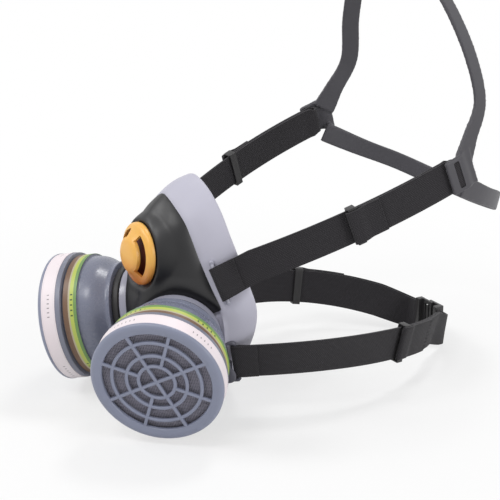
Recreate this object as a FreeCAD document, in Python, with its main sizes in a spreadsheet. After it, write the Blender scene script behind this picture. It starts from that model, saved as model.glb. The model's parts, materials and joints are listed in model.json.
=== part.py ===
import FreeCAD, Part
import math
import os
import Sketcher
from FreeCAD import Placement, Rotation, Vector

# Half-mask respirator with two combined filters, worn shape, in millimetres.
#
# Frame: +X is the wearer's left, +Y goes back through the head, +Z is up.
# The origin is the middle of the plane that the rim of the face seal lies in.
# The face piece hangs forward of that plane, tipped down by mask_tilt.

SIZES = {
    # face piece
    "mask_tilt": 12.0,
    "seal_half_width": 50.0,
    "seal_top": 67.8,
    "seal_chin": 60.0,
    "seal_depth": 19.0,
    "seal_wall": 2.4,
    "seal_lip": 8.0,
    "shell_half_width": 43.5,
    "shell_prow": 57.0,
    "shell_wall": 2.4,
    "shell_hem_drop": 0.72,
    "part_gap": 0.3,
    # inlet ports, one each side
    "port_splay": 45.2,
    "port_dip": 3.5,
    "port_across": 22.7,
    "port_forward": 37.8,
    "port_below": 10.1,
    "port_radius": 25.0,
    "port_ring_depth": 4.6,
    "port_bore": 16.5,
    "spigot_radius": 18.8,
    "spigot_reach": 13.6,
    "port_tail": 5.0,
    "lug_reach": 2.0,
    "lug_depth": 1.6,
    "bar_half_width": 1.6,
    "inhale_radius": 15.6,
    "diaphragm_thickness": 0.8,
    "stem_radius": 1.5,
    "stem_head": 2.7,
    "hub_radius": 3.6,
    # filters
    "gasket_radius": 26.0,
    "gasket_depth": 4.4,
    "neck_radius": 27.5,
    "waist_radius": 33.0,
    "canister_radius": 35.2,
    "canister_depth": 26.5,
    "canister_wall": 1.8,
    "label_thickness": 0.3,
    "gas_label_width": 8.5,
    "snap_gap": 1.2,
    "particle_radius": 37.5,
    "particle_depth": 14.3,
    "particle_wall": 2.2,
    "particle_label_width": 8.6,
    "grille_opening": 31.0,
    "grille_thickness": 2.4,
    "grille_rib": 1.9,
    "grille_turn": 19.5,
    "screen_thickness": 1.2,
    # exhalation valve
    "valve_forward": 40.7,
    "valve_height": 34.3,
    "valve_tip": 14.8,
    "valve_hole": 15.8,
    "cover_radius": 17.9,
    "cover_height": 9.6,
    "cover_wall": 1.5,
    "cover_slot_angle": 104.0,
    "exhale_radius": 13.2,
    # head harness
    "strap_width": 19.5,
    "strap_thickness": 1.3,
    "lower_lean": 0.6,
    "ply_gap": 0.4,
    "upper_arc": 280.6,
    "lower_arc": 109.1,
    "slider_length": 5.0,
    "slider_wall": 1.1,
    "slider_ridge": 1.5,
    "tie_bar": 1.1,
    "yoke_thickness": 2.2,
    "yoke_band_width": 11.0,
    "clasp_length": 24.0,
    "clasp_thickness": 1.6,
    "clasp_lip": 2.2,
}

doc = FreeCAD.newDocument("respirator")
dims = doc.addObject("Spreadsheet::Sheet", "dims")
for row, (alias, number) in enumerate(SIZES.items(), start=1):
    dims.set("A%d" % row, alias)
    dims.set("B%d" % row, str(number))
    dims.setAlias("B%d" % row, alias)
doc.recompute()

nodes = []


# ---------------------------------------------------------------- helpers
def worth(total):
    """Number for a sum of size names and plain numbers, such as 'seal_wall + 2'."""
    answer = 0.0
    sign = 1
    for word in total.split():
        if word == "+" or word == "-":
            sign = 1 if word == "+" else -1
        else:
            answer += sign * (SIZES[word] if word in SIZES else float(word))
            sign = 1
    return answer


def bound(total):
    """The same sum written as an expression on the sheet."""
    return " ".join("dims." + word if word in SIZES else word for word in total.split())


def outline(body, name, role, loops):
    """Sketch of straight-sided loops on one of the body's own origin planes."""
    sketch = body.newObject("Sketcher::SketchObject", name)
    plane = [feature for feature in body.Origin.OriginFeatures if feature.Role == role][0]
    sketch.AttachmentSupport = [(plane, "")]
    sketch.MapMode = "FlatFace"
    for loop in loops:
        first = sketch.GeometryCount
        points = [Vector(worth(x), worth(y), 0) for x, y in loop]
        count = len(points)
        for i, point in enumerate(points):
            sketch.addGeometry(Part.LineSegment(point, points[(i + 1) % count]), False)
        for i in range(count):
            following = first + (i + 1) % count
            sketch.addConstraint(Sketcher.Constraint("Coincident", first + i, 2, following, 1))
        for i, (x, y) in enumerate(loop):
            for kind, total in (("DistanceX", x), ("DistanceY", y)):
                rule = Sketcher.Constraint(kind, -1, 1, first + i, 1, worth(total))
                index = sketch.addConstraint(rule)
                sketch.setExpression("Constraints[%d]" % index, bound(total))
    return sketch


def new_body(label, place):
    body = doc.addObject("PartDesign::Body", label)
    body.Label = label
    body.Placement = place
    nodes.append(body)
    return body


def spin(body, name, loops, sweep="360", cut=False, centred=False):
    """Turns loops of (radius, height) corners about the body's Z axis."""
    sketch = outline(body, name + "_profile", "XZ_Plane", loops)
    kind = "PartDesign::Groove" if cut else "PartDesign::Revolution"
    turn = body.newObject(kind, name)
    turn.Profile = sketch
    turn.ReferenceAxis = (sketch, ["V_Axis"])
    turn.Midplane = centred
    turn.setExpression("Angle", bound(sweep))
    sketch.Visibility = False
    return turn


def turned(label, loops, place, sweep="360"):
    """A body that is one turned solid."""
    body = new_body(label, place)
    spin(body, label + "_turn", loops, sweep)
    return body


def block(body, name, loops, depth, start, cut=False):
    """Adds or cuts a straight block: loops on XY, upwards from height start."""
    sketch = outline(body, name + "_outline", "XY_Plane", loops)
    sketch.setExpression("AttachmentOffset.Base.z", bound(start))
    kind = "PartDesign::Pocket" if cut else "PartDesign::Pad"
    piece = body.newObject(kind, name)
    piece.Profile = sketch
    piece.setExpression("Length", bound(depth))
    if cut:
        piece.Reversed = True
    sketch.Visibility = False
    return piece


def around(body, original, name, count):
    """Repeats a feature evenly about the body's Z axis."""
    axis = [item for item in body.Origin.OriginFeatures if item.Role == "Z_Axis"][0]
    pattern = body.newObject("PartDesign::PolarPattern", name)
    pattern.Originals = [original]
    pattern.Axis = (axis, [""])
    pattern.Angle = 360
    pattern.Occurrences = count
    body.Tip = pattern
    return pattern


def rectangle(left, right, low, high):
    return [(left, low), (right, low), (right, high), (left, high)]


def feature(label, shape, place=None):
    """A piece whose shape comes straight from Part functions."""
    piece = doc.addObject("Part::Feature", label)
    piece.Label = label
    piece.Shape = shape
    if place is not None:
        piece.Placement = place
    nodes.append(piece)
    return piece


def mirror_x(vector, side):
    """The same direction or point on the wearer's left (side 1) or right (-1)."""
    return Vector(vector.x * side, vector.y, vector.z)


def frame_at(origin, x_way, z_way):
    return Placement(origin, Rotation(x_way, Vector(), z_way, "ZXY"))


MASK = Placement(Vector(), Rotation(Vector(1, 0, 0), SIZES["mask_tilt"]))


def on_mask(x, forward, height):
    """World point of a place given on the untipped mask, forward being positive."""
    return MASK.multVec(Vector(x, -forward, height))


# ---------------------------------------------------------------- face piece
# Half width of the mask by height, as shares of its widest half width, and the
# forward reach of the middle line at the same heights, as shares of the prow.
RIM = [(1.00, 0.00), (0.95, 0.29), (0.83, 0.48), (0.68, 0.53), (0.455, 0.66),
       (0.26, 0.81), (0.07, 0.99), (-0.08, 1.00), (-0.25, 0.955), (-0.40, 0.86),
       (-0.62, 0.63), (-0.86, 0.32), (-1.00, 0.00)]
FACE_RIM = [(1.00, 0.00), (0.985, 0.24), (0.87, 0.44), (0.74, 0.585), (0.58, 0.715),
            (0.43, 0.80), (0.16, 0.945), (0.02, 1.00), (-0.13, 0.965), (-0.32, 0.84),
            (-0.54, 0.635), (-0.80, 0.36), (-1.00, 0.00)]
MIDLINE = [(0.97, 0.36), (0.83, 0.60), (0.68, 0.66), (0.50, 0.715), (0.27, 0.79),
           (0.08, 0.875), (-0.14, 0.97), (-0.38, 0.99), (-0.60, 0.86), (-0.80, 0.64),
           (-0.95, 0.40)]


def height_of(share, inset):
    reach = SIZES["seal_top"] - 4.0 if share > 0 else SIZES["seal_chin"] - 2.0
    return share * (reach - inset)


def rim_width(share, widths):
    """Straight-line reading of a half-width table at a height share."""
    for (high, wide), (low, narrow) in zip(widths, widths[1:]):
        if low <= share <= high:
            return wide + (narrow - wide) * (high - share) / (high - low)
    return 0.0


def ring_wire(table, half_width, top, chin, forward):
    """Closed smooth outline across the mask, at a distance forward of the face."""
    right = [(half_width * w, (top if s > 0 else chin) * s) for s, w in table]
    left = [(-x, z) for x, z in reversed(right[1:-1])]
    points = [Vector(x, -forward, z) for x, z in right + left]
    curve = Part.BSplineCurve()
    curve.interpolate(points, PeriodicFlag=True)
    return Part.Wire([curve.toShape()])


def slice_wire(share, reach, inset, back):
    """One level slice of the face piece, from the rim round the prow."""
    z = height_of(share, inset)
    rim = SIZES["seal_depth"]
    half = max(SIZES["shell_half_width"] * rim_width(share, RIM) - inset, 1.5)
    prow = max(SIZES["shell_prow"] * reach - inset, rim + 1.0)
    cheek = rim + (prow - rim) * 0.62
    blunt = half * (0.52 if share > 0.2 else 0.44)
    points = [Vector(half, -rim, z), Vector((half + blunt) / 2 + 0.8, -(rim + cheek) / 2, z),
              Vector(blunt, -cheek, z), Vector(0, -prow, z), Vector(-blunt, -cheek, z),
              Vector(-(half + blunt) / 2 - 0.8, -(rim + cheek) / 2, z), Vector(-half, -rim, z)]
    curve = Part.BSplineCurve()
    curve.interpolate(points)
    front = curve.toShape()
    edges = [front]
    if back > 0:
        edges.append(Part.makeLine(points[-1], points[-1] + Vector(0, back, 0)))
        edges.append(Part.makeLine(points[-1] + Vector(0, back, 0), points[0] + Vector(0, back, 0)))
        edges.append(Part.makeLine(points[0] + Vector(0, back, 0), points[0]))
    else:
        edges.append(Part.makeLine(points[-1], points[0]))
    return Part.Wire(edges)


def cup(inset, back):
    """The face piece's bulk forward of the rim, shrunk all round by inset."""
    wires = [slice_wire(share, reach, inset, back) for share, reach in MIDLINE]
    return Part.makeLoft(wires, True)


def port_frame(side):
    splay = math.radians(SIZES["port_splay"])
    dip = math.radians(SIZES["port_dip"])
    out = Vector(math.sin(splay) * math.cos(dip), -math.cos(splay) * math.cos(dip), -math.sin(dip))
    seat = Vector(SIZES["port_across"], -SIZES["port_forward"], -SIZES["port_below"])
    local = frame_at(mirror_x(seat, side), Vector(0, 0, 1), mirror_x(out, side))
    return MASK.multiply(local)


def valve_frame():
    seat = Vector(0, -SIZES["valve_forward"], SIZES["valve_height"])
    lean = math.radians(SIZES["valve_tip"])
    out = Vector(0, -math.cos(lean), math.sin(lean))
    return MASK.multiply(frame_at(seat, Vector(1, 0, 0), out))


def cylinder_at(place, radius, low, high):
    shape = Part.makeCylinder(radius, high - low, Vector(0, 0, low))
    shape.Placement = place
    return shape


def face_piece():
    wall = SIZES["seal_wall"]
    rim = SIZES["seal_depth"]
    outer = cup(0.0, 0.0)
    inner = cup(SIZES["shell_wall"], 4.0)
    skin = outer.cut(inner)
    tall = 200.0
    drop = math.degrees(math.atan(SIZES["shell_hem_drop"]))
    upper = Part.makeBox(tall, 2 * tall, tall, Vector(-tall / 2, -tall, 0))
    upper.rotate(Vector(), Vector(1, 0, 0), drop)
    upper.translate(Vector(0, -rim + 1.0, 1.0))
    lower = Part.makeBox(tall, 2 * tall, tall, Vector(-tall / 2, -tall, -tall))
    lower.rotate(Vector(), Vector(1, 0, 0), drop)
    lower.translate(Vector(0, -rim + 1.0, 1.0))
    shell = skin.common(upper)
    chin_cup = skin.common(lower)
    outer_rim = ring_wire(FACE_RIM, SIZES["seal_half_width"], SIZES["seal_top"],
                          SIZES["seal_chin"], 0.0)
    front_rim = ring_wire(RIM, SIZES["shell_half_width"], SIZES["seal_top"] - 4.0,
                          SIZES["seal_chin"] - 2.0, rim)
    inner_rim = ring_wire(FACE_RIM, SIZES["seal_half_width"] - wall, SIZES["seal_top"] - wall,
                          SIZES["seal_chin"] - wall, wall)
    inner_front = ring_wire(RIM, SIZES["shell_half_width"] - wall,
                            SIZES["seal_top"] - 4.0 - wall, SIZES["seal_chin"] - 2.0 - wall,
                            rim + 0.5)
    mouth = ring_wire(FACE_RIM, SIZES["seal_half_width"] - SIZES["seal_lip"],
                      SIZES["seal_top"] - SIZES["seal_lip"], SIZES["seal_chin"] - SIZES["seal_lip"],
                      -1.0)
    flange = Part.makeLoft([outer_rim, front_rim], True)
    hollow = Part.makeLoft([inner_rim, inner_front], True)
    opening = Part.makeLoft([mouth, mouth.translated(Vector(0, -wall - 2.0, 0))], True)
    flange = flange.cut(hollow).cut(opening)
    return shell, flange, chin_cup


shell_shape, flange_shape, chin_shape = face_piece()
untip = MASK.inverse()
holes = []
for side in (1, -1):
    place = untip.multiply(port_frame(side))
    holes.append(cylinder_at(place, SIZES["spigot_radius"] + SIZES["part_gap"], -14.0, 12.0))
    clear = SIZES["port_radius"] + SIZES["part_gap"]
    holes.append(cylinder_at(place, clear, 0.0, 16.0))
vent = untip.multiply(valve_frame())
holes.append(cylinder_at(vent, SIZES["valve_hole"], -12.0, 6.0))
holes.append(cylinder_at(vent, SIZES["cover_radius"] + SIZES["part_gap"], 0.0, 12.0))
for hole in holes:
    shell_shape = shell_shape.cut(hole)
    chin_shape = chin_shape.cut(hole)
feature("front_shell", shell_shape, MASK)
seal = feature("face_seal", flange_shape.fuse(chin_shape), MASK)


# ---------------------------------------------------------------- inlet ports and filters
# Heights along a port's axis, outwards from the shell.
NECK = "port_ring_depth + gasket_depth"
CANISTER_TOP = NECK + " + canister_depth"
FILTER_BACK = CANISTER_TOP + " + snap_gap"
CAP_BACK = FILTER_BACK + " + particle_depth - grille_thickness - 0.2"
FILTER_FACE = FILTER_BACK + " + particle_depth"
LOCK_TURN = 45.0


def valve_bars(body, word, half_width, reach, depth, start):
    """A cross of two bars with a hub that the stem of a valve disc passes through."""
    across = rectangle("0 - " + reach, reach, "0 - " + half_width, half_width)
    upright = rectangle("0 - " + half_width, half_width, "0 - " + reach, reach)
    block(body, "bar_across_" + word, [across], depth, start)
    block(body, "bar_upright_" + word, [upright], depth, start)
    hub = rectangle("0", "hub_radius", start, start + " + " + depth)
    spin(body, "hub_" + word, [hub])
    bore = rectangle("0", "stem_radius + part_gap", start + " - 1", start + " + " + depth + " + 1")
    spin(body, "hub_bore_" + word, [bore], cut=True)


def inlet_port(word, place):
    """Port ring with its spigot, valve bars and three bayonet lugs."""
    ring = [("port_bore", "0 - port_tail"), ("spigot_radius", "0 - port_tail"),
            ("spigot_radius", "0"), ("port_radius", "0"), ("port_radius", "port_ring_depth"),
            ("spigot_radius", "port_ring_depth"), ("spigot_radius", "spigot_reach"),
            ("port_bore", "spigot_reach")]
    body = turned("inlet_port_" + word, [ring], place)
    lug = rectangle("0 - 4", "4", "port_bore + 1", "spigot_radius + lug_reach")
    tab = block(body, "bayonet_lug_" + word, [lug], "lug_depth", "spigot_reach - lug_depth")
    around(body, tab, "bayonet_lugs_" + word, 3)
    valve_bars(body, word, "bar_half_width", "port_bore + 0.8", "2", "0 - 4")


def inhale_valve(word, place):
    """Soft disc behind the port, with the stem that holds it in the hub."""
    face = "0 - port_tail - part_gap"
    back = face + " - diaphragm_thickness"
    disc = [("0", back), ("inhale_radius", back), ("inhale_radius", face),
            ("stem_radius", face), ("stem_radius", "0 - 0.4"), ("stem_head", "0 - 0.4"),
            ("stem_head", "0.6"), ("0", "0.6")]
    turned("inhale_valve_" + word, [disc], place)


def gas_filter(word, place):
    """Gasket, canister, screens, sorbent bed and label of the gas filter."""
    seat = "port_ring_depth + part_gap"
    bore = "spigot_radius + part_gap"
    gasket = rectangle(bore, "gasket_radius", seat, NECK)
    turned("port_gasket_" + word, [gasket], place)
    land = "canister_radius - label_thickness"
    mouth = land + " - canister_wall"
    label_low = CANISTER_TOP + " - gas_label_width"
    wall = [(bore, NECK), ("neck_radius", NECK), ("neck_radius", NECK + " + 3"),
            ("neck_radius + 3", NECK + " + 7"), ("waist_radius", NECK + " + 11"),
            ("waist_radius + 0.7", label_low), (land, label_low), (land, CANISTER_TOP),
            (mouth, CANISTER_TOP), (mouth, label_low),
            ("waist_radius - canister_wall", NECK + " + 11.5"),
            ("neck_radius - canister_wall", NECK + " + 4"),
            ("neck_radius - canister_wall", NECK + " + 2.6"), (bore, NECK + " + 2.6")]
    locked = place.multiply(Placement(Vector(), Rotation(Vector(0, 0, 1), LOCK_TURN)))
    body = turned("canister_" + word, [wall], locked)
    notch = rectangle("0 - 4.6", "4.6", "port_bore", "spigot_radius + lug_reach + 0.8")
    gate = block(body, "lug_gate_" + word, [notch], "4", NECK + " - 0.6", cut=True)
    around(body, gate, "lug_gates_" + word, 3)
    inside = "waist_radius - canister_wall"
    shelf = NECK + " + 11.5"
    bed = shelf + " + screen_thickness"
    bed_top = CANISTER_TOP + " - 2.5 - screen_thickness"
    rear = rectangle("0", inside, shelf, bed)
    turned("rear_screen_" + word, [rear], place)
    grains = rectangle("0", inside, bed, bed_top)
    turned("sorbent_bed_" + word, [grains], place)
    front = rectangle("0", mouth + " - 0.1", bed_top, bed_top + " + screen_thickness")
    turned("front_screen_" + word, [front], place)
    band = rectangle(land, "canister_radius", label_low, CANISTER_TOP)
    turned("gas_label_" + word, [band], locked)


def particle_filter(word, place, grille_turn):
    """Housing, pleated disc, label and front grille of the particle filter."""
    snap = "canister_radius - label_thickness - canister_wall - 0.1"
    skirt = CANISTER_TOP + " - 2.4"
    ledge = FILTER_BACK + " + 2"
    land = "particle_radius - label_thickness - 0.2"
    inside = "particle_radius - particle_wall - 0.5"
    wall = [(snap + " - 1.4", skirt), (snap, skirt), (snap, FILTER_BACK), (land, FILTER_BACK),
            (land, CAP_BACK), (inside, CAP_BACK), (inside, ledge), (snap + " - 1.4", ledge)]
    turned("particle_housing_" + word, [wall], place)
    disc = rectangle("0", inside + " - 0.1", ledge, CAP_BACK + " - 1.2")
    turned("pleated_disc_" + word, [disc], place)
    low = CAP_BACK + " - particle_label_width"
    band = rectangle(land, land + " + label_thickness", low, CAP_BACK)
    turned("particle_label_" + word, [band], place)
    rim = [("grille_opening", CAP_BACK), ("particle_radius", CAP_BACK),
           ("particle_radius", FILTER_FACE + " - 1.2"), ("particle_radius - 1", FILTER_FACE),
           ("grille_opening + 1", FILTER_FACE), ("grille_opening", FILTER_FACE + " - 0.8")]
    spun = place.multiply(Placement(Vector(), Rotation(Vector(0, 0, 1), grille_turn)))
    body = turned("grille_" + word, [rim], spun)
    rib_low = CAP_BACK + " + 0.2"
    rib_high = CAP_BACK + " + grille_rib"
    for number, share in enumerate((0.25, 0.43, 0.65)):
        ring = share * SIZES["particle_radius"]
        loop = rectangle("%.3f" % ring, "%.3f + grille_rib" % ring, rib_low, rib_high)
        spin(body, "grille_ring_%d_%s" % (number, word), [loop])
    ray = rectangle("0", "grille_opening + 0.6", "0 - 0.95", "0.95")
    spoke = block(body, "grille_spoke_" + word, [ray], "grille_rib - 0.2", rib_low)
    around(body, spoke, "grille_spokes_" + word, 8)


for side, word in ((1, "left"), (-1, "right")):
    place = port_frame(side)
    inlet_port(word, place)
    inhale_valve(word, place)
    gas_filter(word, place)
    particle_filter(word, place, side * SIZES["grille_turn"])

# ---------------------------------------------------------------- exhalation valve
vent_place = valve_frame()
seat_ring = rectangle("exhale_radius - 1", "valve_hole - part_gap", "0 - 6", "0 - 0.2")
seat_body = turned("exhale_seat", [seat_ring], vent_place)
valve_bars(seat_body, "seat", "bar_half_width", "exhale_radius - 0.5", "1.8", "0 - 2.2")
disc_low = "part_gap - 0.2"
disc_high = disc_low + " + diaphragm_thickness"
turned("exhale_valve", [[("0", "0 - 4.9"), ("stem_head", "0 - 4.9"), ("stem_head", "0 - 3.9"),
                         ("stem_radius", "0 - 3.9"), ("stem_radius", disc_low),
                         ("exhale_radius", disc_low), ("exhale_radius", disc_high),
                         ("0", disc_high)]], vent_place)
cover = turned("exhale_cover", [[
    ("cover_radius - cover_wall", "0"), ("cover_radius", "0"), ("cover_radius", "2.2"),
    ("cover_radius - 1.3", "3.6"), ("cover_radius - 3.6", "4.6"), ("9.5", "cover_height - 1.3"),
    ("7.6", "cover_height - 0.3"), ("0", "cover_height"), ("0", "cover_height - cover_wall"),
    ("6.9", "cover_height - cover_wall - 0.4"), ("cover_radius - 4.9", "3.2"),
    ("cover_radius - cover_wall", "2")]], vent_place)
slot = rectangle("10.2", "cover_radius - 3.3", "2.4", "cover_height")
side_slot = spin(cover, "side_slot", [slot], sweep="cover_slot_angle", cut=True, centred=True)
around(cover, side_slot, "side_slots", 2)


# ---------------------------------------------------------------- lugs, straps and yoke
# Each strap follows an arc in its own tipped plane: centre, way to the widest
# point of the arc, and the way the strap's width lies.
UPPER = (Vector(-205.8, 116.0, 32.7), Vector(0.994, -0.030, 0.100), Vector(-0.11, -0.31, 0.944))
LOWER = (Vector(-44.3, 59.6, -59.3), Vector(0.976, 0.020, 0.220), Vector(-0.22, 0.07, 0.973))
UPPER_FRONT, UPPER_SLIDER, UPPER_TIE = -24.3, -12.2, 1.4
LOWER_TIE, LOWER_SLIDER, LOWER_BACK = -38.8, 16.2, 46.0
FRAME_HEIGHT = -41.5
NAPE = Vector(0, 160.0, -56.0)


def strap_frame(arc, side, turn):
    """Frame on a strap's arc centre, its X axis turned to an angle along the arc."""
    centre, widest, across = arc
    base = frame_at(mirror_x(centre, side), mirror_x(widest, side), mirror_x(across, side) * side)
    return base.multiply(Placement(Vector(), Rotation(Vector(0, 0, 1), turn)))


def arc_degrees(length, radius_name):
    return math.degrees(length / SIZES[radius_name])


def strap_point(arc, radius_name, side, turn, offset=0.0, rise=0.0):
    spot = Vector(SIZES[radius_name] + offset, 0, rise)
    return strap_frame(arc, side, turn).multVec(spot)


def leaning(low, high, half, lean):
    """Section across a strap whose upper edge stands further out by lean times its height."""
    shift = " + %.3f" % (half * lean)
    counter = " - %.3f" % (half * lean)
    rise = "%.3f" % half
    drop = "%.3f" % -half
    return [(low + counter, drop), (high + counter, drop), (high + shift, rise), (low + shift, rise)]


def webbing(label, arc, radius_name, side, start, end, outer_ply, lean=0.0):
    """One ply of flat webbing along an arc."""
    low = radius_name + (" + ply_gap" if outer_ply else " - strap_thickness")
    loop = leaning(low, low + " + strap_thickness", SIZES["strap_width"] / 2, lean * side)
    return turned(label, [loop], strap_frame(arc, side, start), "%.4f" % (end - start))


def slider(label, arc, radius_name, side, start, lean=0.0):
    """Frame that both plies of a strap pass through."""
    half = SIZES["strap_width"] / 2 + SIZES["part_gap"]
    low = radius_name + " - strap_thickness - part_gap"
    high = radius_name + " + ply_gap + strap_thickness + part_gap"
    outside = leaning(low + " - slider_wall", high + " + slider_wall",
                      half + SIZES["slider_wall"], lean * side)
    inside = leaning(low, high, half, lean * side)
    sweep = "%.4f" % arc_degrees(SIZES["slider_length"], radius_name)
    body = turned(label, [outside, inside], strap_frame(arc, side, start), sweep)
    face = high + " + slider_wall"
    ridge = rectangle(high + " + 0.5", face + " + slider_ridge", "0 - 1.5", "1.5")
    spin(body, label + "_ridge", [ridge], sweep)
    return body


def rod(start, end, radius):
    return Part.makeCylinder(radius, (end - start).Length, start, end - start)


def slab(start, end, across, width, thickness):
    """Flat bar from start to end with its width along across."""
    run = end - start
    place = frame_at(start, run, across - run * (across.dot(run) / run.dot(run)))
    shape = Part.makeBox(run.Length, thickness, width, Vector(0, -thickness / 2, -width / 2))
    shape.Placement = place
    return shape


def band(points, inner, width, thickness):
    """Flat band through points, its face turned away from the inner point."""
    wires = []
    for i, point in enumerate(points):
        run = points[min(i + 1, len(points) - 1)] - points[max(i - 1, 0)]
        run.normalize()
        out = point - inner
        out = out - run * out.dot(run)
        out.normalize()
        wide = run.cross(out) * (width / 2)
        thick = out * thickness
        corners = [point - wide, point + wide, point + wide + thick, point - wide + thick]
        wires.append(Part.makePolygon(corners + corners[:1]))
    return Part.makeLoft(wires, True, True)


def joined(shapes):
    whole = shapes[0]
    for shape in shapes[1:]:
        whole = whole.fuse(shape)
    return whole


def tie_loop(start, end, run, reach):
    """Sewn end of a strap: a tube round a bar with both plies running back from it."""
    inner = SIZES["tie_bar"] + SIZES["part_gap"]
    outer = inner + SIZES["strap_thickness"]
    way = end - start
    way.normalize()
    middle = (start + end) * 0.5
    half = way * (SIZES["strap_width"] / 2)
    tube = rod(middle - half, middle + half, outer)
    thick = 2 * SIZES["strap_thickness"] + SIZES["ply_gap"]
    tail = slab(middle, middle + run * (reach / run.Length), way, SIZES["strap_width"], thick)
    hollow = rod(start - way * 2, end + way * 2, inner)
    return joined([tube, tail]).cut(hollow)


half_bar = SIZES["strap_width"] / 2 + 2.0
fold_room = SIZES["tie_bar"] + SIZES["part_gap"] + SIZES["strap_thickness"] + 0.05
for side, word in ((1, "left"), (-1, "right")):
    # upper lug: a bar on two posts at the shell's rear edge
    middle = on_mask(41.4 * side, 15.8, 18.0)
    along = on_mask(-0.475 * side, 0, 0.880)
    top = middle + along * half_bar
    foot = middle - along * half_bar
    inward = on_mask(-2.9 * side, -1.8, 0)
    posts = [rod(spot, spot + inward, SIZES["tie_bar"] + 0.3) for spot in (top, foot)]
    lug = joined([rod(top, foot, SIZES["tie_bar"])] + posts)
    feature("upper_lug_" + word, lug.cut(seal.Shape))
    post_room = SIZES["tie_bar"] + 0.3 + SIZES["part_gap"]
    clear = joined([rod(spot - inward, spot + inward * 2, post_room) for spot in (top, foot)])
    front = strap_point(UPPER, "upper_arc", side, UPPER_FRONT, -0.5)
    run = front - middle
    reach = run.Length - 2 * SIZES["part_gap"]
    loop = tie_loop(top, foot, run, reach)
    feature("upper_end_loop_" + word, loop.cut(clear))
    # upper strap, its return ply and its slider
    stop = UPPER_TIE - arc_degrees(fold_room, "upper_arc")
    webbing("upper_strap_" + word, UPPER, "upper_arc", side, UPPER_FRONT, stop, False)
    back = UPPER_SLIDER + arc_degrees(SIZES["slider_length"] + SIZES["part_gap"], "upper_arc")
    webbing("upper_return_" + word, UPPER, "upper_arc", side, back, stop, True)
    slider("upper_slider_" + word, UPPER, "upper_arc", side, UPPER_SLIDER)
    # lower strap, its return ply and its slider
    start = LOWER_TIE + arc_degrees(fold_room, "lower_arc")
    lean = SIZES["lower_lean"]
    webbing("lower_strap_" + word, LOWER, "lower_arc", side, start, LOWER_BACK, False, lean)
    back = LOWER_SLIDER + arc_degrees(SIZES["slider_length"] + SIZES["part_gap"], "lower_arc")
    webbing("lower_return_" + word, LOWER, "lower_arc", side, back, LOWER_BACK, True, lean)
    slider("lower_slider_" + word, LOWER, "lower_arc", side, LOWER_SLIDER, lean)

# lower frame: a bar under the ports that carries both lower strap bars
frame_half = [(31.5, 17.0), (25.5, 32.0), (14.0, 45.0)]
frame_half += [(0, 51.0)] + [(-x, forward) for x, forward in reversed(frame_half)]
frame_path = [on_mask(x, forward, FRAME_HEIGHT) for x, forward in frame_half]
lower_parts = [band(frame_path, on_mask(0, 10.0, FRAME_HEIGHT), 8.0, 2.0)]
for side, word in ((1, "left"), (-1, "right")):
    middle = strap_point(LOWER, "lower_arc", side, LOWER_TIE, 0.2)
    splay = SIZES["lower_lean"] * half_bar
    top = strap_point(LOWER, "lower_arc", side, LOWER_TIE, 0.2 + splay, half_bar * side)
    foot = strap_point(LOWER, "lower_arc", side, LOWER_TIE, 0.2 - splay, -half_bar * side)
    ahead = LOWER_TIE - 2.8
    fore_top = strap_point(LOWER, "lower_arc", side, ahead, 0.2 + splay, half_bar * side)
    fore_foot = strap_point(LOWER, "lower_arc", side, ahead, 0.2 - splay, -half_bar * side)
    root = on_mask(33.5 * side, 18.5, FRAME_HEIGHT)
    lower_parts += [rod(top, foot, SIZES["tie_bar"]), rod(top, fore_top, 1.3)]
    lower_parts += [rod(foot, fore_foot, 1.3), rod(fore_top, fore_foot, 1.3)]
    lower_parts.append(rod((fore_top + fore_foot) * 0.5, root, 2.4))
    inner = SIZES["tie_bar"] + SIZES["part_gap"]
    way = (top - foot).normalize()
    half = way * (SIZES["strap_width"] / 2)
    ring = rod(middle - half, middle + half, inner + SIZES["strap_thickness"])
    bore = rod(middle - half * 1.2, middle + half * 1.2, inner)
    feature("lower_end_loop_" + word, ring.cut(bore))
feature("lower_frame", joined(lower_parts).cut(seal.Shape))

# yoke: crown band, band round the back of the head, and a slotted plate each side
crown_half = [Vector(71.5, 123, 72), Vector(69.3, 129, 84.5), Vector(65.5, 138, 104),
              Vector(58.5, 134, 132), Vector(42.5, 128, 160), Vector(20, 124.5, 178)]
back_half = [Vector(71.5, 124, 57), Vector(63, 146.5, 45.8), Vector(50, 166, 37),
             Vector(33, 180.5, 29), Vector(15, 187.5, 25)]
head_middle = Vector(0, 92, 70)
crown = crown_half + [Vector(0, 123.5, 183)] + [mirror_x(p, -1) for p in reversed(crown_half)]
behind = back_half + [Vector(0, 189, 24)] + [mirror_x(p, -1) for p in reversed(back_half)]
yoke_parts = [band(crown, head_middle, SIZES["yoke_band_width"], SIZES["yoke_thickness"]),
              band(behind, head_middle, SIZES["yoke_band_width"], SIZES["yoke_thickness"])]
for side, word in ((1, "left"), (-1, "right")):
    def at_tie(turn, rise, offset=0.2):
        return strap_point(UPPER, "upper_arc", side, turn, offset, rise)
    bar = rod(at_tie(UPPER_TIE, -half_bar), at_tie(UPPER_TIE, half_bar), SIZES["tie_bar"])
    rails = [slab(at_tie(UPPER_TIE - 0.1, half_bar * way), at_tie(UPPER_TIE + 2.6, half_bar * way),
                  at_tie(0, 1) - at_tie(0, 0), 2.6, SIZES["yoke_thickness"]) for way in (-1, 1)]
    plate = slab(at_tie(UPPER_TIE + 1.3, 0), at_tie(UPPER_TIE + 3.4, 0),
                 at_tie(0, 1) - at_tie(0, 0), 2 * half_bar + 2.6, SIZES["yoke_thickness"])
    yoke_parts += [bar, plate] + rails
    middle = at_tie(UPPER_TIE, 0)
    half = (at_tie(UPPER_TIE, 1) - at_tie(UPPER_TIE, 0)) * (SIZES["strap_width"] / 2)
    inner = SIZES["tie_bar"] + SIZES["part_gap"]
    ring = rod(middle - half, middle + half, inner + SIZES["strap_thickness"])
    ring = ring.cut(rod(middle - half * 1.2, middle + half * 1.2, inner))
    feature("upper_fold_" + word, ring)
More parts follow.
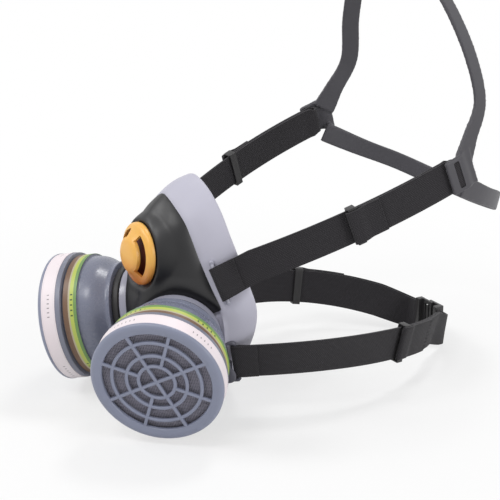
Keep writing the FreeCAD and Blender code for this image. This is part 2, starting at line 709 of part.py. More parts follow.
feature("crown_yoke", joined(yoke_parts))

# nape clasp: a loop on the right strap, and a hook plate on the left strap that drops over it
for side, word in ((1, "left"), (-1, "right")):
    start = strap_point(LOWER, "lower_arc", side, LOWER_BACK + 0.66, 0.2)
    end = mirror_x(NAPE + Vector(11.9, -3.4, 0), side)
    lean = SIZES["lower_lean"]
    tall = strap_point(LOWER, "lower_arc", side, LOWER_BACK, lean, side)
    tall = tall - strap_point(LOWER, "lower_arc", side, LOWER_BACK)
    thick = 2 * SIZES["strap_thickness"] + SIZES["ply_gap"]
    feature("lower_end_" + word, slab(start, end, tall, SIZES["strap_width"], thick))
clasp = SIZES["clasp_length"]
skin = SIZES["clasp_thickness"]
lip = SIZES["clasp_lip"]
loop_frame = Part.makeBox(11.0, skin, clasp, NAPE + Vector(-9.0, -skin / 2 - 0.2, -clasp / 2))
window = Part.makeBox(4.4, skin + 2, clasp - 5.0, NAPE + Vector(-4.4, -skin / 2 - 1.2, 2.5 - clasp / 2))
socket = Part.makeBox(3.4, 4.6, clasp, NAPE + Vector(-10.6, -3.8, -clasp / 2))
feature("nape_loop", joined([loop_frame, socket]).cut(window))
plate_low = skin / 2 - 0.2 + SIZES["part_gap"]
hook_plate = Part.makeBox(13.2, skin, clasp, NAPE + Vector(-2.6, plate_low, -clasp / 2))
hook_lip = Part.makeBox(1.8, lip, clasp - 6.0, NAPE + Vector(-2.6, plate_low - lip, 3.0 - clasp / 2))
hook_socket = Part.makeBox(3.4, 4.9, clasp, NAPE + Vector(7.2, -3.8, -clasp / 2))
feature("nape_hook", joined([hook_plate, hook_lip, hook_socket]))

# ---------------------------------------------------------------- checks and files
doc.recompute()
faults = [item.Label for item in doc.Objects
          if "Invalid" in item.State or "Error" in item.State]
for piece in nodes:
    if piece.Shape.isNull() or not piece.Shape.isValid() or not piece.Shape.Solids:
        faults.append(piece.Label)
if faults:
    raise RuntimeError("pieces that did not build: " + ", ".join(sorted(set(faults))))
os.makedirs("parts", exist_ok=True)
for piece in nodes:
    piece.Shape.exportStep("parts/%s.step" % piece.Label)
print(len(nodes), "pieces written")
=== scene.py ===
import json
import math

import bpy
from bpy.props import FloatProperty, FloatVectorProperty, IntProperty, PointerProperty
from mathutils import Matrix, Vector

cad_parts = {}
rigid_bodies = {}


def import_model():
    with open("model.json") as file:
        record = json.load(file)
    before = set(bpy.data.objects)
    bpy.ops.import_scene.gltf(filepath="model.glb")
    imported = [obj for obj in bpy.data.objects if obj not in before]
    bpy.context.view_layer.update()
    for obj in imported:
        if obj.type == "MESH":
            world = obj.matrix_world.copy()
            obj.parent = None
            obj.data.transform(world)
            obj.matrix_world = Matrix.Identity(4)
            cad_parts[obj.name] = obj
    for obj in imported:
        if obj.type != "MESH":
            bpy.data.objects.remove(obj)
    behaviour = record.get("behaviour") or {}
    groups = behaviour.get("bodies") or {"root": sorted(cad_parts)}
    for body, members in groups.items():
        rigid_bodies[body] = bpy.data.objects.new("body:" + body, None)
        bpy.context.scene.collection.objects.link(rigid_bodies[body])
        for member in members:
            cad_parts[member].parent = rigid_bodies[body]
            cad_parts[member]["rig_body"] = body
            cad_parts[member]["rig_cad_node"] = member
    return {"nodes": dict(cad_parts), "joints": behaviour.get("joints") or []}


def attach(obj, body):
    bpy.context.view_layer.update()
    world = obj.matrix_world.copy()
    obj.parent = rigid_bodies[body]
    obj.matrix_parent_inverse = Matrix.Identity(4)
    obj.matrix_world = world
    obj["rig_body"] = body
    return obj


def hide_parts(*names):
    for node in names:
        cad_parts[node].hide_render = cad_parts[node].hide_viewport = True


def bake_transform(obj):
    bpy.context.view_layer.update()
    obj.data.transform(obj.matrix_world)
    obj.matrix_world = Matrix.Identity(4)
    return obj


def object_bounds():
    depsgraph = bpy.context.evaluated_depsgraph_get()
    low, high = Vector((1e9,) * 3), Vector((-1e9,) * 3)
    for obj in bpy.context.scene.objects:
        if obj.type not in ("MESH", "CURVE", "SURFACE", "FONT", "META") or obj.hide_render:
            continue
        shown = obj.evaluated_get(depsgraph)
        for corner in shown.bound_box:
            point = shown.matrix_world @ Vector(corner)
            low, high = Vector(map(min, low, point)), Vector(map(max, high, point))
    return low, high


bl_info = {
    "name": "Half mask respirator",
    "version": (1, 0, 0),
    "blender": (4, 5, 0),
    "location": "View3D > Sidebar > Respirator",
    "description": "Models and finishes a half mask with twin filters over its packed frame",
    "category": "Add Mesh",
}

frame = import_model()
CAD_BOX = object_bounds()
JOINTS = {joint["name"]: joint for joint in frame["joints"]}
MM = 0.001
SIDES = (("left", 1), ("right", -1))
TILT = Matrix.Rotation(math.radians(12.0), 4, "X")


# ---------------------------------------------------------------- settings
def length(name, description, millimetres):
    return FloatProperty(name=name, description=description, default=millimetres * MM, min=0.0,
                         precision=5, unit="LENGTH")


def tint(name, description, shade):
    return FloatVectorProperty(name=name, description=description, default=shade, min=0.0,
                               max=1.0, size=3, subtype="COLOR_GAMMA")


class MaskSizes(bpy.types.PropertyGroup):
    shell_wall: length("Shell wall", "Thickness of the black front shell", 1.4)
    seal_wall: length("Seal wall", "Thickness of the soft seal", 1.4)
    seal_lip: length("Seal lip", "Reach of the lip that turns in against the face", 7.0)
    rim_roll: length("Rim roll", "Radius of the rolled rim against the face", 2.0)
    edge: length("Moulded edge", "Rounding of the shell's free edge", 0.35)
    rows: IntProperty(name="Rows", description="Mesh rows from the nose to the chin", default=130)
    columns: IntProperty(name="Columns", description="Mesh columns across the mask", default=144)


class FilterSizes(bpy.types.PropertyGroup):
    bore: length("Bore", "Radius of the hole in the canister's neck", 19.1)
    neck: length("Neck", "Radius of the canister behind the gasket", 27.5)
    body: length("Body", "Radius of the canister before its label", 33.7)
    ring: length("Ring", "Outer radius of the grille's ring", 37.5)
    opening: length("Opening", "Radius of the grille's opening", 31.0)
    rib: length("Rib", "Width of the grille's ribs", 1.9)


class StrapSizes(bpy.types.PropertyGroup):
    width: length("Width", "Width of the elastic webbing", 19.5)
    thickness: length("Thickness", "Thickness of one ply of webbing", 1.3)
    ply: length("Ply distance", "Middle of one ply to the middle of the next", 1.7)
    bar_loop: length("Bar loop", "Radius of the webbing's middle where it goes round a bar", 2.05)
    sewn: length("Sewn end", "Length of a sewn end behind its bar", 12.0)
    yoke_width: length("Yoke width", "Width of the yoke's bands", 11.0)
    yoke_thickness: length("Yoke thickness", "Thickness of the yoke's bands", 2.2)


class Finishes(bpy.types.PropertyGroup):
    seal: tint("Seal", "Soft grey elastomer", (0.735, 0.73, 0.785))
    shell: tint("Shell", "Black moulded shell", (0.058, 0.056, 0.068))
    lug: tint("Lug", "Strap lugs", (0.66, 0.66, 0.71))
    # Lower frame: its dark grey is the tone the frame's ears show in shadow, so painted shade.
    lower_frame: tint("Lower frame", "Frame under the ports", (0.36, 0.36, 0.40))
    cover: tint("Cover", "Exhalation cover", (0.95, 0.72, 0.35))
    # Cover's lower rim: a deeper orange towards the bottom, painted shade where less light falls on the
    # cover.
    cover_low_shade: tint("Cover, lower rim", "Deeper orange of the cover's rim", (0.85, 0.46, 0.19))
    valve: tint("Valve", "Valve discs", (0.46, 0.15, 0.10))
    port: tint("Port", "Inlet port rings", (0.62, 0.62, 0.68))
    black: tint("Black parts", "Gaskets, sliders and clasp", (0.13, 0.125, 0.13))
    canister: tint("Canister", "Gas filter body", (0.47, 0.485, 0.555))
    housing: tint("Housing", "Particle filter body", (0.50, 0.51, 0.57))
    grille: tint("Grille", "Ring and ribs of the grille", (0.53, 0.55, 0.63))
    media: tint("Filter media", "Mesh behind the grille", (0.54, 0.53, 0.58))
    paper: tint("Label paper", "Label of the particle filter", (0.92, 0.905, 0.915))
    webbing: tint("Webbing", "Elastic head straps", (0.165, 0.158, 0.17))
    yoke: tint("Yoke", "Crown yoke", (0.27, 0.265, 0.285))


class Respirator(bpy.types.PropertyGroup):
    mask: PointerProperty(type=MaskSizes)
    filters: PointerProperty(type=FilterSizes)
    straps: PointerProperty(type=StrapSizes)
    finishes: PointerProperty(type=Finishes)


def settings():
    return bpy.context.scene.respirator


# ---------------------------------------------------------------- small helpers
def smoothstep(start, end, value):
    share = max(0.0, min(1.0, (value - start) / (end - start)))
    return share * share * (3 - 2 * share)


def mix(a, b, share):
    return a + (b - a) * share


def through(points, steps):
    """Smooth curve through points, with a number of steps between each pair."""
    made = []
    for i in range(len(points) - 1):
        p1, p2 = points[i], points[i + 1]
        p0 = points[i - 1] if i else p1 * 2 - p2
        p3 = points[i + 2] if i + 2 < len(points) else p2 * 2 - p1
        for step in range(steps):
            t = step / steps
            made.append(((p1 * 2) + (p2 - p0) * t + (p0 * 2 - p1 * 5 + p2 * 4 - p3) * t * t
                         + (p1 * 3 - p0 - p2 * 3 + p3) * t ** 3) / 2)
    return made + [points[-1]]


def evenly(points, count):
    """The same line with count even steps along its length."""
    runs = [0.0]
    for a, b in zip(points, points[1:]):
        runs.append(runs[-1] + (b - a).length)
    made, i = [], 0
    for step in range(count + 1):
        goal = runs[-1] * step / count
        while i < len(points) - 2 and runs[i + 1] < goal:
            i += 1
        share = (goal - runs[i]) / max(runs[i + 1] - runs[i], 1e-9)
        made.append(points[i].lerp(points[i + 1], max(0.0, min(1.0, share))))
    return made


def reading(pairs, key):
    """Straight-line reading of a falling table of (key, value)."""
    for (high, a), (low, b) in zip(pairs, pairs[1:]):
        if key >= low:
            return mix(a, b, max(0.0, min(1.0, (high - key) / max(high - low, 1e-9))))
    return pairs[-1][1]


def axes_at(origin, across, outward):
    """Matrix with its Z axis outward and its X axis as near to across as can be."""
    z = Vector(outward).normalized()
    x = (Vector(across) - z * z.dot(Vector(across))).normalized()
    turned = Matrix((x, z.cross(x), z)).transposed().to_4x4()
    return Matrix.Translation(Vector(origin)) @ turned


def pick(obj):
    """Selects one object only and makes it active."""
    bpy.ops.object.select_all(action="DESELECT")
    obj.select_set(True)
    bpy.context.view_layer.objects.active = obj


def named(name):
    made = bpy.context.object
    made.name = name
    made.data.name = name
    return made


def in_edit(obj, *steps):
    """Runs edit-mode steps on the whole mesh."""
    pick(obj)
    bpy.ops.object.mode_set(mode="EDIT")
    bpy.ops.mesh.select_all(action="SELECT")
    for step in steps:
        step()
    bpy.ops.object.mode_set(mode="OBJECT")


def merge_close():
    bpy.ops.mesh.remove_doubles(threshold=0.00001)
    bpy.ops.mesh.delete_loose()


def face_out():
    bpy.ops.mesh.select_all(action="SELECT")
    bpy.ops.mesh.normals_make_consistent(inside=False)


def with_modifier(obj, kind, **values):
    """Adds a modifier, sets it and applies it."""
    modifier = obj.modifiers.new(kind.lower(), kind)
    for name, value in values.items():
        setattr(modifier, name, value)
    pick(obj)
    bpy.ops.object.modifier_apply(modifier=modifier.name)
    return obj


def rounded(obj, width, segments=2, angle=40.0):
    return with_modifier(obj, "BEVEL", width=width, segments=segments, limit_method="ANGLE",
                         angle_limit=math.radians(angle), use_clamp_overlap=True)


def smooth(obj, angle=40.0):
    pick(obj)
    bpy.ops.object.shade_smooth_by_angle(angle=math.radians(angle))
    return obj


def cut(obj, *cutters):
    """Takes closed cutters out of a piece and removes them."""
    for cutter in cutters:
        with_modifier(obj, "BOOLEAN", object=cutter, operation="DIFFERENCE", solver="EXACT")
        bpy.data.objects.remove(cutter)
    return obj


def joined(name, pieces):
    bpy.ops.object.select_all(action="DESELECT")
    for piece in pieces:
        piece.select_set(True)
    bpy.context.view_layer.objects.active = pieces[0]
    bpy.ops.object.join()
    return named(name)


def plug(place, radius, low, high, sides=128):
    """Closed cylinder along a frame's Z axis, used as a cutter or a rod."""
    bpy.ops.mesh.primitive_cylinder_add(vertices=sides, radius=radius, depth=high - low,
                                        location=(0, 0, (low + high) / 2))
    made = bpy.context.object
    bpy.ops.object.transform_apply(location=True, rotation=True, scale=True)
    made.data.transform(place)
    return made


def spun(name, profile, place, sweep=360.0, start=0.0, steps=144):
    """Closed profile of (radius, height) corners in millimetres, spun about a frame's Z axis.

    A part turn runs from start over sweep degrees; the spin tool itself turns clockwise.
    """
    whole = sweep > 359.0
    bpy.ops.mesh.primitive_circle_add(vertices=len(profile), fill_type="NOTHING" if whole else "NGON")
    made = named(name)
    for vertex, (radius, height) in zip(made.data.vertices, profile):
        vertex.co = (radius * MM, 0.0, height * MM)
    made.data.transform(Matrix.Rotation(math.radians(start + sweep), 4, "Z"))

    def turn():
        bpy.ops.mesh.spin(steps=steps, angle=math.radians(sweep), center=(0, 0, 0), axis=(0, 0, 1))
        bpy.ops.mesh.select_all(action="SELECT")

    in_edit(made, turn, merge_close, face_out)
    made.data.transform(place)
    return made


def laid_grid(name, columns, rows, place):
    """Grid primitive with each corner put where place(column share, row share) says."""
    bpy.ops.mesh.primitive_grid_add(x_subdivisions=columns, y_subdivisions=rows, size=2)
    made = named(name)
    for vertex in made.data.vertices:
        vertex.co = place((vertex.co.x + 1) / 2, (vertex.co.y + 1) / 2)
    made.data.update()
    return made


def copied(node, name):
    """Copy of a CAD node's mesh under a new name, with its doubled corners merged."""
    pick(frame["nodes"][node])
    bpy.ops.object.duplicate()
    made = named(name)
    made.parent = None
    made.matrix_world = Matrix.Identity(4)
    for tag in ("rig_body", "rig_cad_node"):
        del made[tag]
    in_edit(made, merge_close)
    return made


def softened(node, width, segments=2):
    """Copy of a CAD node's mesh with its flat faces made whole and its sharp edges rounded."""
    made = copied(node, node + "_finished")
    in_edit(made, lambda: bpy.ops.mesh.dissolve_limited(angle_limit=math.radians(0.5)))
    rounded(made, width, segments, 30.0)
    return smooth(made, 35.0)


def settle(obj, material, slot, body, *nodes):
    """Gives a finished piece its material and body and hides the CAD nodes that it stands for; slot is
    not used.
    """
    obj.data.materials.clear()
    obj.data.materials.append(material)
    if body:
        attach(obj, body)
    if nodes:
        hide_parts(*nodes)
    return obj


def coat(node, material):
    """Puts a material on a CAD node whose shape stays."""
    mesh = frame["nodes"][node].data
    mesh.materials.clear()
    mesh.materials.append(material)


# ---------------------------------------------------------------- materials
def linear(shade):
    return [c / 12.92 if c <= 0.04045 else ((c + 0.055) / 1.055) ** 2.4 for c in shade]


class Recipe:
    """A principled material and short ways to add nodes to it."""

    def __init__(self, name, shade, roughness):
        self.material = bpy.data.materials.new(name)
        self.material.use_nodes = True
        self.tree = self.material.node_tree
        self.shader = self.tree.nodes["Principled BSDF"]
        self.shade = linear(shade)
        self.put(self.shader, "Base Color", (*self.shade, 1.0))
        self.put(self.shader, "Roughness", roughness)
        self.roughness = roughness
        place = self.tree.nodes.new("ShaderNodeTexCoord")
        self.spot = place.outputs["Object"]
        self.cloth = place.outputs["UV"]

    def put(self, node, socket, value):
        """Sets a socket, or links it where value is another node's socket."""
        if isinstance(value, bpy.types.NodeSocket):
            self.tree.links.new(value, node.inputs[socket])
        else:
            node.inputs[socket].default_value = value

    def noise(self, scale, detail=3.0):
        node = self.tree.nodes.new("ShaderNodeTexNoise")
        self.put(node, "Vector", self.spot)
        self.put(node, "Scale", scale)
        self.put(node, "Detail", detail)
        return node.outputs["Fac"]

    def maths(self, operation, a, b=0.0):
        node = self.tree.nodes.new("ShaderNodeMath")
        node.operation = operation
        self.put(node, 0, a)
        self.put(node, 1, b)
        return node.outputs[0]

    def along(self, origin, direction):
        """Distance along a direction from an origin."""
        shift = self.tree.nodes.new("ShaderNodeVectorMath")
        shift.operation = "SUBTRACT"
        self.put(shift, 0, self.spot)
        self.put(shift, 1, origin)
        dot = self.tree.nodes.new("ShaderNodeVectorMath")
        dot.operation = "DOT_PRODUCT"
        self.put(dot, 0, shift.outputs[0])
        self.put(dot, 1, direction)
        return dot.outputs["Value"]

    def ramp(self, value, low, high, stops, step=False):
        """Colours by value: stops of (value between low and high, shade)."""
        span = self.tree.nodes.new("ShaderNodeMapRange")
        self.put(span, "Value", value)
        self.put(span, "From Min", low)
        self.put(span, "From Max", high)
        node = self.tree.nodes.new("ShaderNodeValToRGB")
        node.color_ramp.interpolation = "CONSTANT" if step else "LINEAR"
        self.put(node, "Fac", span.outputs["Result"])
        marks = node.color_ramp.elements
        while len(marks) < len(stops):
            marks.new(1.0)
        for mark, (at, shade) in zip(marks, stops):
            mark.position = (at - low) / (high - low)
            mark.color = (*linear(shade), 1.0)
        return node.outputs["Color"]

    def blend(self, share, a, b):
        """Mixes two colours, each a plain shade or another node's socket."""
        node = self.tree.nodes.new("ShaderNodeMix")
        node.data_type = "RGBA"
        sockets = [s for s in node.inputs if s.type == "RGBA"]
        self.put(node, 0, share)
        for socket, value in zip(sockets, (a, b)):
            if isinstance(value, bpy.types.NodeSocket):
                self.tree.links.new(value, socket)
            else:
                socket.default_value = (*value, 1.0)
        return [s for s in node.outputs if s.type == "RGBA"][0]

    def mottled(self, colour=None, scale=60.0, amount=0.04):
        """Slow change of shade over the surface, and a finer change of gloss."""
        dark = [c * (1 - amount) for c in self.shade]
        light = [min(1.0, c * (1 + amount)) for c in self.shade]
        if colour is None:
            colour = self.blend(self.noise(scale), dark, light)
        self.put(self.shader, "Base Color", colour)
        gloss = self.maths("MULTIPLY", self.maths("SUBTRACT", self.noise(scale * 5), 0.5), 0.10)
        self.put(self.shader, "Roughness", self.maths("ADD", gloss, self.roughness))
        return colour

    def relief(self, height, strength, distance):
        """Bump from a height, added over any bump that is there already."""
        node = self.tree.nodes.new("ShaderNodeBump")
        self.put(node, "Height", height)
        self.put(node, "Strength", strength)
        self.put(node, "Distance", distance)
        if self.shader.inputs["Normal"].links:
            self.put(node, "Normal", self.shader.inputs["Normal"].links[0].from_socket)
        self.put(self.shader, "Normal", node.outputs["Normal"])

    def worn(self, colour, amount=0.5):
        """Lighter, scuffed edges where the surface turns sharply."""
        geometry = self.tree.nodes.new("ShaderNodeNewGeometry")
        edge = self.maths("SUBTRACT", geometry.outputs["Pointiness"], 0.56)
        share = self.maths("MULTIPLY", edge, 8.0)
        patchy = self.maths("MULTIPLY", share, self.noise(700.0))
        share = self.maths("MINIMUM", self.maths("MAXIMUM", patchy, 0.0), amount)
        pale = [min(1.0, c * 1.5 + 0.06) for c in self.shade]
        self.put(self.shader, "Base Color", self.blend(share, colour, pale))


def moulded(name, shade, roughness=0.4, grain=2600.0, depth=0.4, wear=0.35):
    """Moulded plastic: a fine grain, slow mottling and rubbed edges."""
    recipe = Recipe(name, shade, roughness)
    recipe.worn(recipe.mottled(), wear)
    recipe.relief(recipe.noise(grain, 2.0), depth, 0.00004)
    recipe.relief(recipe.noise(110.0, 1.0), 0.12, 0.00005)
    return recipe


def elastomer(name, shade, roughness=0.6):
    """Soft rubber: matt, faintly powdery and slightly uneven."""
    recipe = Recipe(name, shade, roughness)
    recipe.mottled(scale=60.0, amount=0.05)
    recipe.put(recipe.shader, "Sheen Weight", 0.12)
    recipe.put(recipe.shader, "Sheen Roughness", 0.45)
    recipe.put(recipe.shader, "Specular IOR Level", 0.42)
    recipe.relief(recipe.noise(1900.0, 2.0), 0.25, 0.00005)
    recipe.relief(recipe.noise(120.0, 2.0), 0.2, 0.0002)
    return recipe


RIB_PITCH, PICK_PITCH = 0.18, 0.12


def woven(name, shade):
    """Elastic webbing: fine ribs along the strap, crossed by its picks, with painted shade in the grooves
    and painted highlight on the rib tops.
    """
    recipe = Recipe(name, shade, 0.82)
    split = recipe.tree.nodes.new("ShaderNodeSeparateXYZ")
    recipe.put(split, 0, recipe.cloth)
    across, down = split.outputs["X"], split.outputs["Y"]
    rib = recipe.maths("SINE", recipe.maths("MULTIPLY", across, math.tau / RIB_PITCH))
    shift = recipe.maths("MULTIPLY", recipe.maths("SIGN", rib), math.pi / 2)
    turns = recipe.maths("MULTIPLY", down, math.tau / PICK_PITCH)
    pick_wave = recipe.maths("SINE", recipe.maths("ADD", turns, shift))
    ribs = recipe.maths("ABSOLUTE", rib)
    cross = recipe.maths("MULTIPLY", recipe.maths("MULTIPLY", pick_wave, ribs), 0.45)
    height = recipe.maths("ADD", ribs, cross)
    # Painted shade and highlight: the colour follows the relief height, dark in the grooves and light on
    # the rib tops.
    dark = [c * 0.45 for c in recipe.shade]
    light = [c * 1.5 + 0.006 for c in recipe.shade]
    thread = recipe.blend(recipe.maths("MULTIPLY", height, 0.7), dark, light)
    fuzz = recipe.noise(5200.0, 3.0)
    colour = recipe.blend(recipe.maths("MULTIPLY", fuzz, 0.35), thread, light)
    recipe.put(recipe.shader, "Base Color", colour)
    recipe.put(recipe.shader, "Sheen Weight", 0.12)
    recipe.put(recipe.shader, "Sheen Roughness", 0.5)
    recipe.put(recipe.shader, "Specular IOR Level", 0.2)
    recipe.relief(height, 0.75, 0.00022)
    recipe.relief(fuzz, 0.3, 0.00012)
    return recipe


MADE = {}


def finish(name):
    """The named material, made once from the settings."""
    if name not in MADE:
        MADE[name] = MAKERS[name](settings().finishes).material
    return MADE[name]


def seal_finish(tones):
    return elastomer("seal elastomer", tones.seal, 0.52)


def shell_finish(tones):
    recipe = moulded("shell black", tones.shell, 0.42, 2200.0, 0.45, 0.2)
    recipe.put(recipe.shader, "Specular IOR Level", 0.5)
    return recipe


def cover_finish(tones):
    recipe = moulded("cover orange", tones.cover, 0.34, 2600.0, 0.25, 0.1)
    vent = vent_frame()
    # Painted shade: by height, the cover runs from its plain orange at the middle down to the deeper
    # shaded orange at the bottom.
    rise = recipe.along(vent.translation, vent.to_3x3().col[1])
    radius = 17.9 * MM
    fade = recipe.ramp(rise, -radius, radius, [(-radius, tones.cover_low_shade), (0.0, tones.cover),
                                              (radius, tones.cover)])
    recipe.mottled(fade)
    recipe.put(recipe.shader, "Subsurface Weight", 0.08)
    recipe.put(recipe.shader, "Subsurface Radius", (0.002, 0.001, 0.0004))
    return recipe


# Lower and upper edge of both labels along a filter's axis, and the pitch of the net.
GAS_LABEL, PAPER_LABEL = (27.0, 35.6), (39.8, 48.4)
NET_PITCH = 0.95


def gas_band_finish(word):
    """Printed colour bands round the canister, across the label's width."""
    place = port_frame(word)
    recipe = Recipe("gas label " + word, (0.6, 0.75, 0.3), 0.42)
    height = recipe.along(place.translation, place.to_3x3().col[2])
    low, high = (edge * MM for edge in GAS_LABEL)
    stops = [(low, (0.44, 0.58, 0.33)), (28.9 * MM, (0.72, 0.77, 0.36)), (31.2 * MM, (0.72, 0.68, 0.58)),
             (32.3 * MM, (0.46, 0.35, 0.27)), (high, (0.46, 0.35, 0.27))]
    bands = recipe.ramp(height, low, high, stops, step=True)
    ticks = label_ticks(recipe, place, 72.0, 29.4 * MM, 30.8 * MM, 0.62)
    recipe.mottled(recipe.blend(ticks, bands, (0.06, 0.09, 0.04)))
    recipe.relief(recipe.noise(900.0), 0.12, 0.00008)
    return recipe


def label_ticks(recipe, place, count, low, high, share):
    """Plain short ticks in groups round a label, between two heights: 1 on a tick."""
    x, y, z = (recipe.along(place.translation, place.to_3x3().col[i]) for i in range(3))
    angle = recipe.maths("ARCTAN2", y, x)
    wave = recipe.maths("SINE", recipe.maths("MULTIPLY", angle, count))
    thin = recipe.maths("GREATER_THAN", wave, share)
    group = recipe.maths("GREATER_THAN", recipe.maths("SINE", recipe.maths("MULTIPLY", angle, 5.0)), 0.55)
    inside = recipe.maths("MULTIPLY", recipe.maths("GREATER_THAN", z, low),
                          recipe.maths("LESS_THAN", z, high))
    return recipe.maths("MULTIPLY", recipe.maths("MULTIPLY", thin, group), inside)


def paper_finish(word):
    """White paper label with a faint rule near each edge and plain ticks."""
    tones = settings().finishes
    place = port_frame(word)
    recipe = Recipe("particle label " + word, tones.paper, 0.5)
    height = recipe.along(place.translation, place.to_3x3().col[2])
    blush = recipe.blend(recipe.noise(22.0, 1.0), linear(tones.paper), linear((0.97, 0.90, 0.92)))
    middle = sum(PAPER_LABEL) / 2 * MM
    off = recipe.maths("ABSOLUTE", recipe.maths("SUBTRACT", height, middle))
    rule = recipe.maths("MULTIPLY", recipe.maths("GREATER_THAN", off, 3.35 * MM),
                        recipe.maths("LESS_THAN", off, 3.5 * MM))
    marks = recipe.maths("MAXIMUM", recipe.maths("MULTIPLY", rule, 0.25),
                         label_ticks(recipe, place, 90.0, middle - 0.9 * MM, middle + 0.5 * MM, 0.7))
    recipe.mottled(recipe.blend(recipe.maths("MULTIPLY", marks, 0.7), blush, (0.10, 0.09, 0.10)))
    recipe.relief(recipe.noise(1500.0), 0.15, 0.00008)
    return recipe


def media_finish(word):
    """Fine net over fleece, laid square in the filter's own frame."""
    tones = settings().finishes
    place = port_frame(word)
    recipe = Recipe("filter net " + word, tones.media, 0.75)
    x = recipe.along(place.translation, place.to_3x3().col[0])
    y = recipe.along(place.translation, place.to_3x3().col[1])
    pitch = NET_PITCH * MM
    waves = [recipe.maths("COSINE", recipe.maths("MULTIPLY", way, math.tau / pitch)) for way in (x, y)]
    knots = recipe.maths("MAXIMUM", waves[0], waves[1])
    strands = recipe.maths("MULTIPLY", recipe.maths("ADD", knots, 1.0), 0.5)
    share = recipe.maths("POWER", strands, 3.0)
    net = recipe.blend(share, [c * 0.42 for c in recipe.shade], [min(1, c * 1.45) for c in recipe.shade])
    recipe.mottled(net)
    recipe.relief(share, 0.8, 0.0003)
    return recipe


def grains_finish(tones):
    """Packed black carbon grains."""
    recipe = Recipe("sorbent grains", (0.12, 0.12, 0.12), 0.7)
    grains = recipe.tree.nodes.new("ShaderNodeTexVoronoi")
    recipe.put(grains, "Vector", recipe.spot)
    recipe.put(grains, "Scale", 900.0)
    recipe.mottled()
    recipe.relief(grains.outputs["Distance"], 0.9, 0.0005)
    return recipe


def screen_finish(tones):
    """White felt screen."""
    recipe = Recipe("screen felt", (0.84, 0.84, 0.82), 0.9)
    recipe.mottled(scale=300.0)
    recipe.relief(recipe.noise(2400.0, 5.0), 0.6, 0.0003)
    return recipe


MAKERS = {
    "seal": seal_finish,
    "shell": shell_finish,
    "cover": cover_finish,
    "lug": lambda tones: moulded("lug grey", tones.lug, 0.4),
    # Lower frame finish: painted shade, its grey darkened to the frame's look in shadow.
    "frame": lambda tones: moulded("frame shaded grey", tones.lower_frame, 0.45),
    "seat": lambda tones: moulded("seat", tones.valve, 0.45),
    "valve": lambda tones: elastomer("valve silicone", tones.valve, 0.4),
    "port": lambda tones: moulded("port grey", tones.port, 0.24, 2600.0, 0.2, 0.2),
    "gasket": lambda tones: elastomer("gasket rubber", tones.black, 0.5),
    "slider": lambda tones: moulded("slider black", tones.black, 0.42),
    "clasp": lambda tones: moulded("clasp black", tones.black, 0.3),
    "canister": lambda tones: moulded("canister grey", tones.canister, 0.27, 2600.0, 0.1, 0.05),
    "housing": lambda tones: moulded("housing grey", tones.housing, 0.33, 2600.0, 0.25, 0.2),
    "grille": lambda tones: moulded("grille grey", tones.grille, 0.36, 2600.0, 0.3, 0.3),
    "webbing": lambda tones: woven("webbing", tones.webbing),
    "yoke": lambda tones: elastomer("yoke rubber", tones.yoke, 0.5),
    "grains": grains_finish,
    "screen": screen_finish,
    "gas_left": lambda tones: gas_band_finish("left"),
    "gas_right": lambda tones: gas_band_finish("right"),
    "paper_left": lambda tones: paper_finish("left"),
    "paper_right": lambda tones: paper_finish("right"),
    "media_left": lambda tones: media_finish("left"),
    "media_right": lambda tones: media_finish("right"),
}


# ---------------------------------------------------------------- places
def on_mask(x, forward, height):
    """World place of a point on the untipped mask, in millimetres, forward being positive."""
    return TILT @ (Vector((x, -forward, height)) * MM)


def port_frame(word):
    """Frame on an inlet port's seat, its Z axis outward."""
    joint = JOINTS["cartridge_turn_" + word]
    return axes_at(joint["pos_m"], TILT.to_3x3() @ Vector((0, 0, 1)), joint["axis"])


def vent_frame():
    """Frame on the exhalation valve's seat, its Z axis outward and its Y axis up."""
    return axes_at(on_mask(0, 40.7, 34.3), (1, 0, 0), JOINTS["cover_unclip"]["axis"])


# ---------------------------------------------------------------- face piece
# Half widths and heights of the shell's rear edge and of the rim on the face, from
# the nose down to the chin, and the middle line of the prow as (forward, height).
REAR_EDGE = [(0, 63.2), (6, 61.2), (11, 58.0), (15.5, 54.6), (20, 50.0), (23.3, 43.4),
             (28.8, 29.0), (35.3, 16.6),
             (43.0, 4.5), (43.5, -4.6), (41.5, -14.5), (37.4, -23.2), (27.4, -36.0),
             (13.9, -49.9), (0, -58.0)]
FACE_RIM = [(0, 67.8), (6, 66.4), (11, 63.9), (16, 60.6), (22.6, 55.0), (29.3, 48.2),
            (35.8, 38.6), (40.0, 29.2),
            (47.3, 10.8), (50.0, 1.4), (48.3, -7.8), (42.0, -19.2), (31.8, -32.4),
            (18.0, -48.0), (0, -60.0)]
PROW = [(19.0, 63.2), (23.0, 61.2), (27.6, 58.4), (31.6, 55.2), (34.8, 50.8), (37.8, 43.6),
        (41.3, 32.5), (45.2, 17.2), (49.8, 5.1), (54.0, -8.1), (54.6, -22.0), (49.0, -34.8),
        (38.0, -46.4), (26.0, -55.0), (19.0, -58.0)]
REAR = 19.0
# Flat pads that the vent and ports stand on: full to the first radius, gone at the second.
VENT_PAD, PORT_PAD, PAD_REACH = (18.6, 24.5), (25.6, 35.0), (9.0, 16.0)
PORT_HOLE_DEPTH, VENT_HOLE_DEPTH = (-12, 10), (-10, 8)
SEAL_DEPTH = 1.75
# The shell's hem: its height at the rear edge, and how it falls forward of it.
HEM_REAR, HEM_SLOPE, HEM_DROOP = 3.5, 0.42, 0.012
# The nose rim is drawn back from the face, more and more between two heights.
NOSE_DRAW, NOSE_HEIGHTS = 3.2, (36.0, 64.0)
# Rounded ears at both ends of the lower frame.
EAR_SIZE, FRAME_VOXEL = Vector((5.6, 5.4, 1.9)), 0.45


